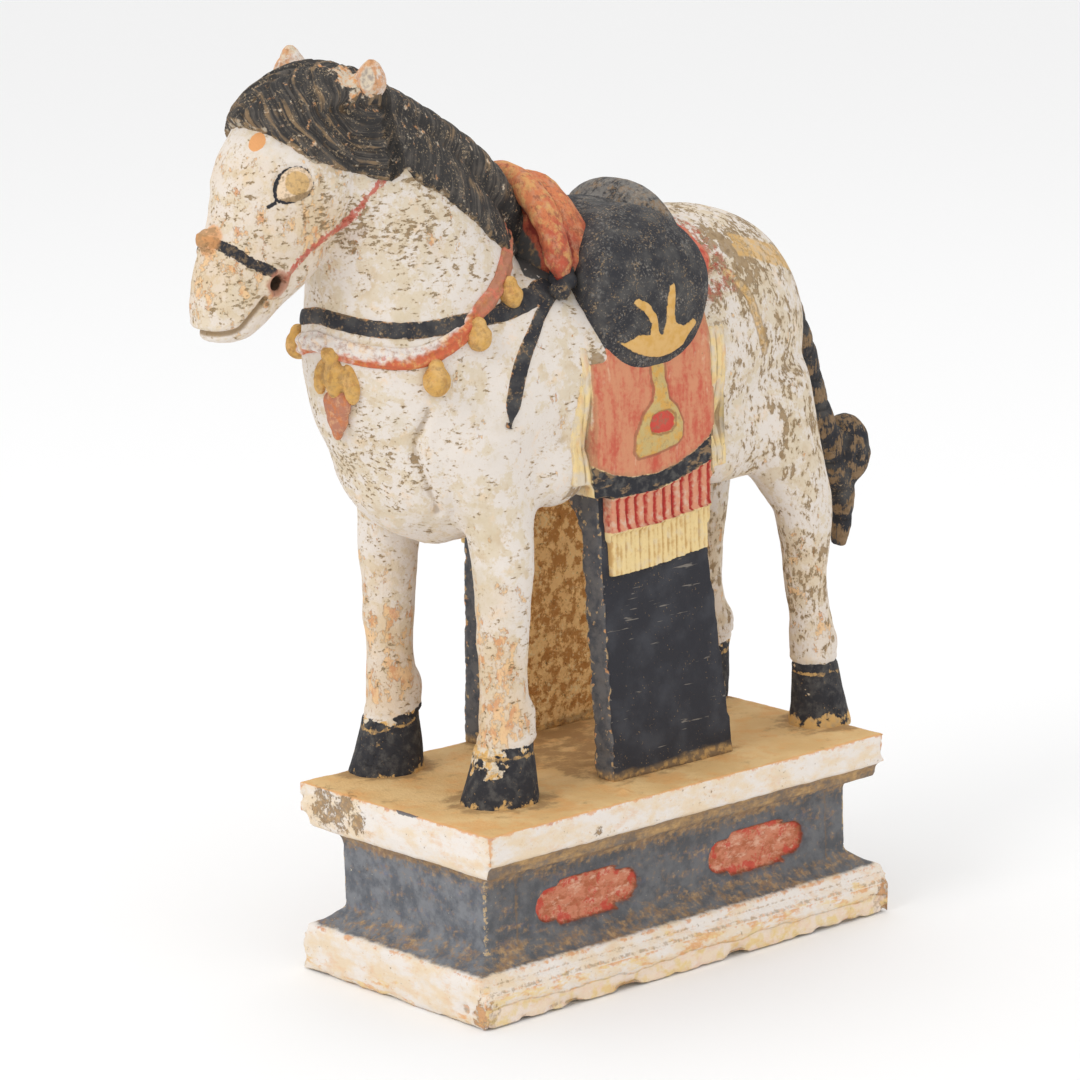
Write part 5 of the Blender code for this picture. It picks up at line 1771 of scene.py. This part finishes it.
def supportMaterial():
    s = Surface("blackSupport", 83.0)
    ink = s.mix("slabBlack", "slabInk", s.grain(14, 4).ramp(-0.4, 0.9))
    ink = s.mix(ink, "dirt", (s.grain(0.9, 2) + s.grain(9, 3) * 0.35).ramp(0.75, 1.0) * 0.6)
    ink = s.mix(ink, "scratch", s.grain(1.0, 3, (1, 6, 2.2)).ramp(1.15, 1.5) * 0.5)
    scuff = (s.grain(1.3, 2, (1, 12, 1.1)) + s.grain(8, 2) * 0.3).ramp(0.75, 0.95)
    ink = s.mix(ink, "scuff", scuff * 0.6)
    grey = s.mix("edgeGrey", "edgeBlue", s.grain(6, 5, rough=0.65).ramp(-0.4, 0.6))
    chipped = (s.grain(2.6, 5) - s.read("fineDip") * 2.5).ramp(0.55, 0.85)
    grey = s.mix(grey, s.mix("buff", "orange", s.grain(3, 3).ramp(0, 0.6)), chipped * 0.85)
    colour = s.mix(ink, grey, s.read("front").ramp(0.3, 0.7))
    raw = s.mix("rawPale", "rawOrange", s.grain(5, 6, rough=0.72).ramp(-0.2, 0.2))
    raw = s.mix(raw, "rawCream", (s.grain(1.8, 4) + s.grain(12, 3) * 0.4).ramp(0.35, 0.8) * 0.8)
    pores = s.read("fineDip") * 1.4 + s.grain(2.6, 5, rough=0.7) * 0.9
    raw = s.mix(raw, "rawBrown", pores.ramp(0.35, 0.8) * 0.85)
    inside = (s.read("inside") + s.grain(2, 3) * 0.5).ramp(-0.4, 0.6)
    colour = s.mix(colour, raw, inside)
    foot = (s.read("foot") + s.grain(6, 4, (1, 3, 1)) * 1.6).ramp(-1.0, 2.0)
    colour = s.mix(colour, s.mix("dirt", "ochre", s.grain(3, 3).ramp(-0.3, 0.4)), foot * 0.65)
    height = s.grain(1.6, 4) * 0.05 + s.grain(6, 3) * 0.05 + inside * (s.grain(3, 5) * 0.5) - scuff * 0.12
    return s.finish(colour, height, 0.84)


def plinthMaterial():
    s = Surface("paintedPlinth", 97.0)
    fine, broad = s.read("fineDip"), s.read("broadDip")
    level, end, edge = s.read("level"), s.read("end"), s.read("edge")
    ragged = s.grain(4, 5, rough=0.65) * 0.5
    brushed = s.grain(6, 6, (2.6, 2.6, 0.7), 0.68)
    brown = s.mix("dadoBrown", "dadoTan", s.grain(3, 4).ramp(-0.3, 0.7))
    # blue-grey dado, rubbed brown at its top and foot
    blue = s.mix("dadoPale", "dadoGrey", s.grain(9, 6, rough=0.65).ramp(-0.5, 0.5))
    blue = s.mix(blue, "dadoBlue", brushed.ramp(0.1, 0.8) * 0.6)
    # the long sides of the dado are painted darker than its ends: painted shade on the sides turned from
    # the light
    blue = s.mix(blue, "softBlack", (1 - end) * 0.42)
    high, low = (level - 50).ramp(0, 7), (29 - level).ramp(0, 6)
    rub = brushed * 0.55 + s.grain(2.6, 5, rough=0.68) * 0.55
    rub = rub + high * 0.55 + low * 0.3 - end * 0.06 + broad * 0.15
    blue = s.mix(blue, brown, rub.ramp(0.0, 0.75) * 0.8)
    speck = (s.grain(1.2, 3) + s.grain(10, 3) * 0.4).ramp(0.8, 1.1)
    blue = s.mix(blue, s.mix("dadoInk", "cream", s.grain(2, 2).ramp(0.1, 0.3)), speck * 0.7)
    blue = s.mix(blue, "darkDirt", (fine * 1.8 + s.grain(3, 4) * 0.2).ramp(0.25, 0.7) * 0.7)
    corner = (1.9 - edge + s.grain(1.8, 5, rough=0.65) * 1.6).ramp(0.0, 0.5) * (level - 24).ramp(0, 2)
    blue = s.mix(blue, s.mix("buff", "cream", s.grain(1.6, 3)), corner * 0.8)
    # slab and foot in white
    white = s.mix("slabWhite", "slabCream", s.grain(10, 6, (1.6, 1.6, 0.8), 0.65).ramp(-0.4, 0.5))
    white = s.mix(white, "slabPeach", s.grain(6, 6, (2.0, 2.0, 0.8), 0.7).ramp(0.1, 0.8) * 0.6)
    white = s.mix(white, "slabTan", (s.grain(2.6, 6, rough=0.72)).ramp(0.35, 0.8) * 0.7)
    pit = (s.grain(1.2, 3) + s.grain(9, 3) * 0.4).ramp(0.85, 1.05)
    white = s.mix(white, "dirt", pit * 0.8)
    worn = (1.2 - edge + s.grain(5, 6, rough=0.68) * 1.9).ramp(0.0, 1.1)
    white = s.mix(white, s.mix("orange", "terracotta", s.grain(4, 4).ramp(-0.1, 0.8)), worn * 0.75)
    gone = (s.read("loss") * 0.95 + s.grain(3.2, 6, (1, 1, 1), 0.76) * 0.75).ramp(0.55, 0.85)
    bared = s.mix(brown, "abraded", s.grain(2, 4).ramp(-0.2, 0.6))
    bared = s.mix(bared, "orange", (24 - level).ramp(0, 3) * 0.65)
    white = s.mix(white, bared, gone * 0.9)
    # the long sides of the foot have lost most of their white
    bare = s.grain(7, 6, (2.0, 2.0, 0.6), 0.68) + (9 - level) * 0.05 - end * 0.45
    foot = s.mix(white, s.mix("straw", "orange", s.grain(5, 5, (1.6, 1.6, 0.8), 0.65).ramp(-0.3, 0.6)),
                 bare.ramp(-0.05, 0.35) * 0.85)
    shelf = s.read("shelf")
    foot = s.mix(foot, s.mix("shelfWhite", "straw", s.grain(6, 4).ramp(-0.1, 0.5)),
                 (7.0 - shelf).ramp(-0.2, 0.4) * 0.7)
    line = (fine * 2.0 + s.grain(2, 4) * 0.2).ramp(0.2, 0.55)
    line = line.most(((shelf - 7.3).size() * -1 + 0.5 + ragged * 0.4).ramp(0, 0.3) * 0.6)
    scored = (s.read("scored") + s.grain(2, 4) * 0.5).ramp(0.7, 1.3)
    lineClay = s.mix("dirt", "orange", s.grain(3, 3).ramp(-0.2, 0.5))
    line = line.most(scored * (s.grain(2.6, 4) + 0.4).ramp(0, 0.5))
    foot = s.mix(foot, lineClay, line * 0.6)
    blue = s.mix(blue, "scoredBrown", scored * 0.5)
    onFoot = (20.3 - level + ragged * 0.8).ramp(-0.4, 0.4)
    onSlab = (level - 65.2 + end * 5.6 + ragged * 0.4).ramp(-0.3, 0.3)
    under = s.mix("abraded", "ochre", brushed.ramp(-0.3, 0.8))
    onBand = (level - 57 + ragged * 2).ramp(-1.0, 1.0) * (0.5 + end * 0.4)
    colour = s.mix(s.mix(blue, under, onBand * 0.8), foot, onFoot)
    colour = s.mix(colour, white, onSlab)
    top = (level - 77.85 + s.grain(3, 4) * 0.12 - (edge - 1).ramp(0, -1.2) * 0.2).ramp(-0.15, 0.15)
    ochre = s.mix("topOchre", "topPale", s.grain(22, 4).ramp(-0.5, 0.6))
    ochre = s.mix(ochre, "topOrange", s.grain(14, 6, rough=0.68).ramp(-0.1, 0.7) * 0.6)
    # brown smears on the top, heaviest round the hooves and the support: real smears with painted shade
    # where the horse stands
    smearAndShade = s.grain(7, 6, (1.4, 1.8, 1), 0.68) + s.read("contactSmearAndShade") * 0.9
    ochre = s.mix(ochre, "topSmear", smearAndShade.ramp(0.3, 1.1) * 0.8)
    ochre = s.mix(ochre, "darkDirt", (s.grain(1.7, 3) + s.grain(14, 2) * 0.3).ramp(1.1, 1.3) * 0.8)
    ochre = s.mix(ochre, "orange", (1.6 - edge + ragged * 2).ramp(0, 1) * 0.6)
    colour = s.mix(colour, ochre, top)
    colour = s.mix(colour, "blueDab", (s.read("dab") + ragged).ramp(0, 0.2) * (1 - end * 0.1))
    # sunk panels
    red = s.mix("sunkPink", "sunkRed", s.grain(3.4, 6, (1.6, 1.6, 1), 0.7).ramp(-0.3, 0.5))
    red = s.mix(red, "sunkPale", s.grain(3.6, 6, (1.8, 1.8, 0.8), 0.72).ramp(0.0, 0.6) * 0.7)
    red = s.mix(red, "sunkBright", (s.grain(5, 6, rough=0.7) + fine * 1.6).ramp(0.15, 0.6) * 0.8)
    red = s.mix(red, "abraded", (fine * 1.5 + s.grain(3, 4) * 0.3).ramp(0.5, 1.0) * 0.8)
    # a dark brown band round the inside of each sunk panel's edge: painted shade of the recess
    rimShade = (1.6 - s.read("panel").size() + s.grain(2.5, 4) * 0.8).ramp(0, 1.4)
    red = s.mix(red, "sunkRim", rimShade * 0.75)
    colour = s.mix(colour, red, (s.read("panel") + ragged * 0.6).ramp(0.0, 0.6))
    colour = s.mix(colour, s.mix("buff", "terracotta", s.grain(8, 4).ramp(-0.3, 0.6)), s.read("hidden"))
    height = s.grain(1.5, 4) * 0.05 + s.grain(6, 4) * 0.1
    height = height + onSlab.most(onFoot) * 0.1 - gone * 0.15 - pit * 0.12
    return s.finish(colour, height, 0.86)


# each material and the pieces that wear it
wearers = (
    (bodyMaterial, [body]),
    (earMaterial, earPieces),
    (hairMaterial, [hairPiece]),
    (tailMaterial, [tailPiece]),
    (saddleMaterial, [saddlePiece]),
    (frontClothMaterial, [frontClothPiece]),
    (rearClothMaterial, [rearClothPiece]),
    (hangingMaterial, hangingPieces),
    (strapMaterial, [breastPiece, knotPiece, *strapEndPieces]),
    (collarMaterial, [collarPiece]),
    (goldMaterial, [bellsPiece, flowerPiece]),
    (tasselMaterial, [tasselPiece]),
    (supportMaterial, [supportPiece]),
)
for makeMaterial, wearing in wearers:
    material = makeMaterial()
    for piece in wearing:
        settle(piece, material)
settle(plinthPiece, plinthMaterial(), plinthZero)
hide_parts("horse")
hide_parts("plinth")
print("materials made and pieces settled")

# studio

studio = {
    "azimuth": 49.596, "elevation": 12.367, "roll": -1.7, "lens": 150, "distance": 2.0306,
    "aim": (-0.155907, 0.106145, 0.1296),  # from the plinth's middle on the floor
    "lightAim": (0, 0, 0.2),
    "lights": {  # place, size, power
        "keyBox": ((0.2, -1.9, 1.6), 1.1, 13),
        "fillBox": ((2.0, 0.1, 0.9), 1.4, 2),
        "topBox": ((-0.6, 0.6, 2.2), 1.4, 4),
    },
}


def setCamera():
    turn, rise, roll = (math.radians(studio[k]) for k in ("azimuth", "elevation", "roll"))
    back = Vector((math.sin(turn) * math.cos(rise), -math.cos(turn) * math.cos(rise), math.sin(rise)))
    right = Vector((0, 0, 1)).cross(back).normalized()
    up = back.cross(right)
    right, up = math.cos(roll) * right + math.sin(roll) * up, -math.sin(roll) * right + math.cos(roll) * up
    nothingSelected()
    bpy.ops.object.camera_add()
    camera = bpy.context.object
    place = plinthZero + Vector(studio["aim"]) + back * studio["distance"]
    camera.matrix_world = Matrix.Translation(place) @ Matrix((right, up, back)).transposed().to_4x4()
    camera.data.lens, camera.data.sensor_width = studio["lens"], 36
    camera.data.clip_start, camera.data.clip_end = 0.05, 20
    scene.camera = camera


def addLight(name, place, size, power):
    nothingSelected()
    bpy.ops.object.light_add(type="AREA", location=place)
    light = bpy.context.object
    light.name = name
    light.data.shape = "DISK"
    light.data.size = size
    light.data.energy = power
    light.rotation_euler = (Vector(studio["lightAim"]) - Vector(place)).to_track_quat("-Z", "Y").to_euler()


def setStudio():
    nothingSelected()
    bpy.ops.mesh.primitive_plane_add(size=14, location=(0, 0, plinthLow.z - 0.0004))
    floor = bpy.context.object
    floor.name = "studio_floor"
    paper = bpy.data.materials.new("palePaper")
    paper.use_nodes = True
    shader = paper.node_tree.nodes["Principled BSDF"]
    shader.inputs["Base Color"].default_value = (0.94, 0.94, 0.94, 1)
    shader.inputs["Roughness"].default_value = 0.9
    floor.data.materials.append(paper)
    world = bpy.data.worlds.new("paleRoom")
    world.use_nodes = True
    world.node_tree.nodes["Background"].inputs["Color"].default_value = (1, 1, 1, 1)
    world.node_tree.nodes["Background"].inputs["Strength"].default_value = 0.93
    scene.world = world
    for name, light in studio["lights"].items():
        addLight(name, *light)


setCamera()
setStudio()
scene.view_settings.view_transform = "Standard"
print("studio set")
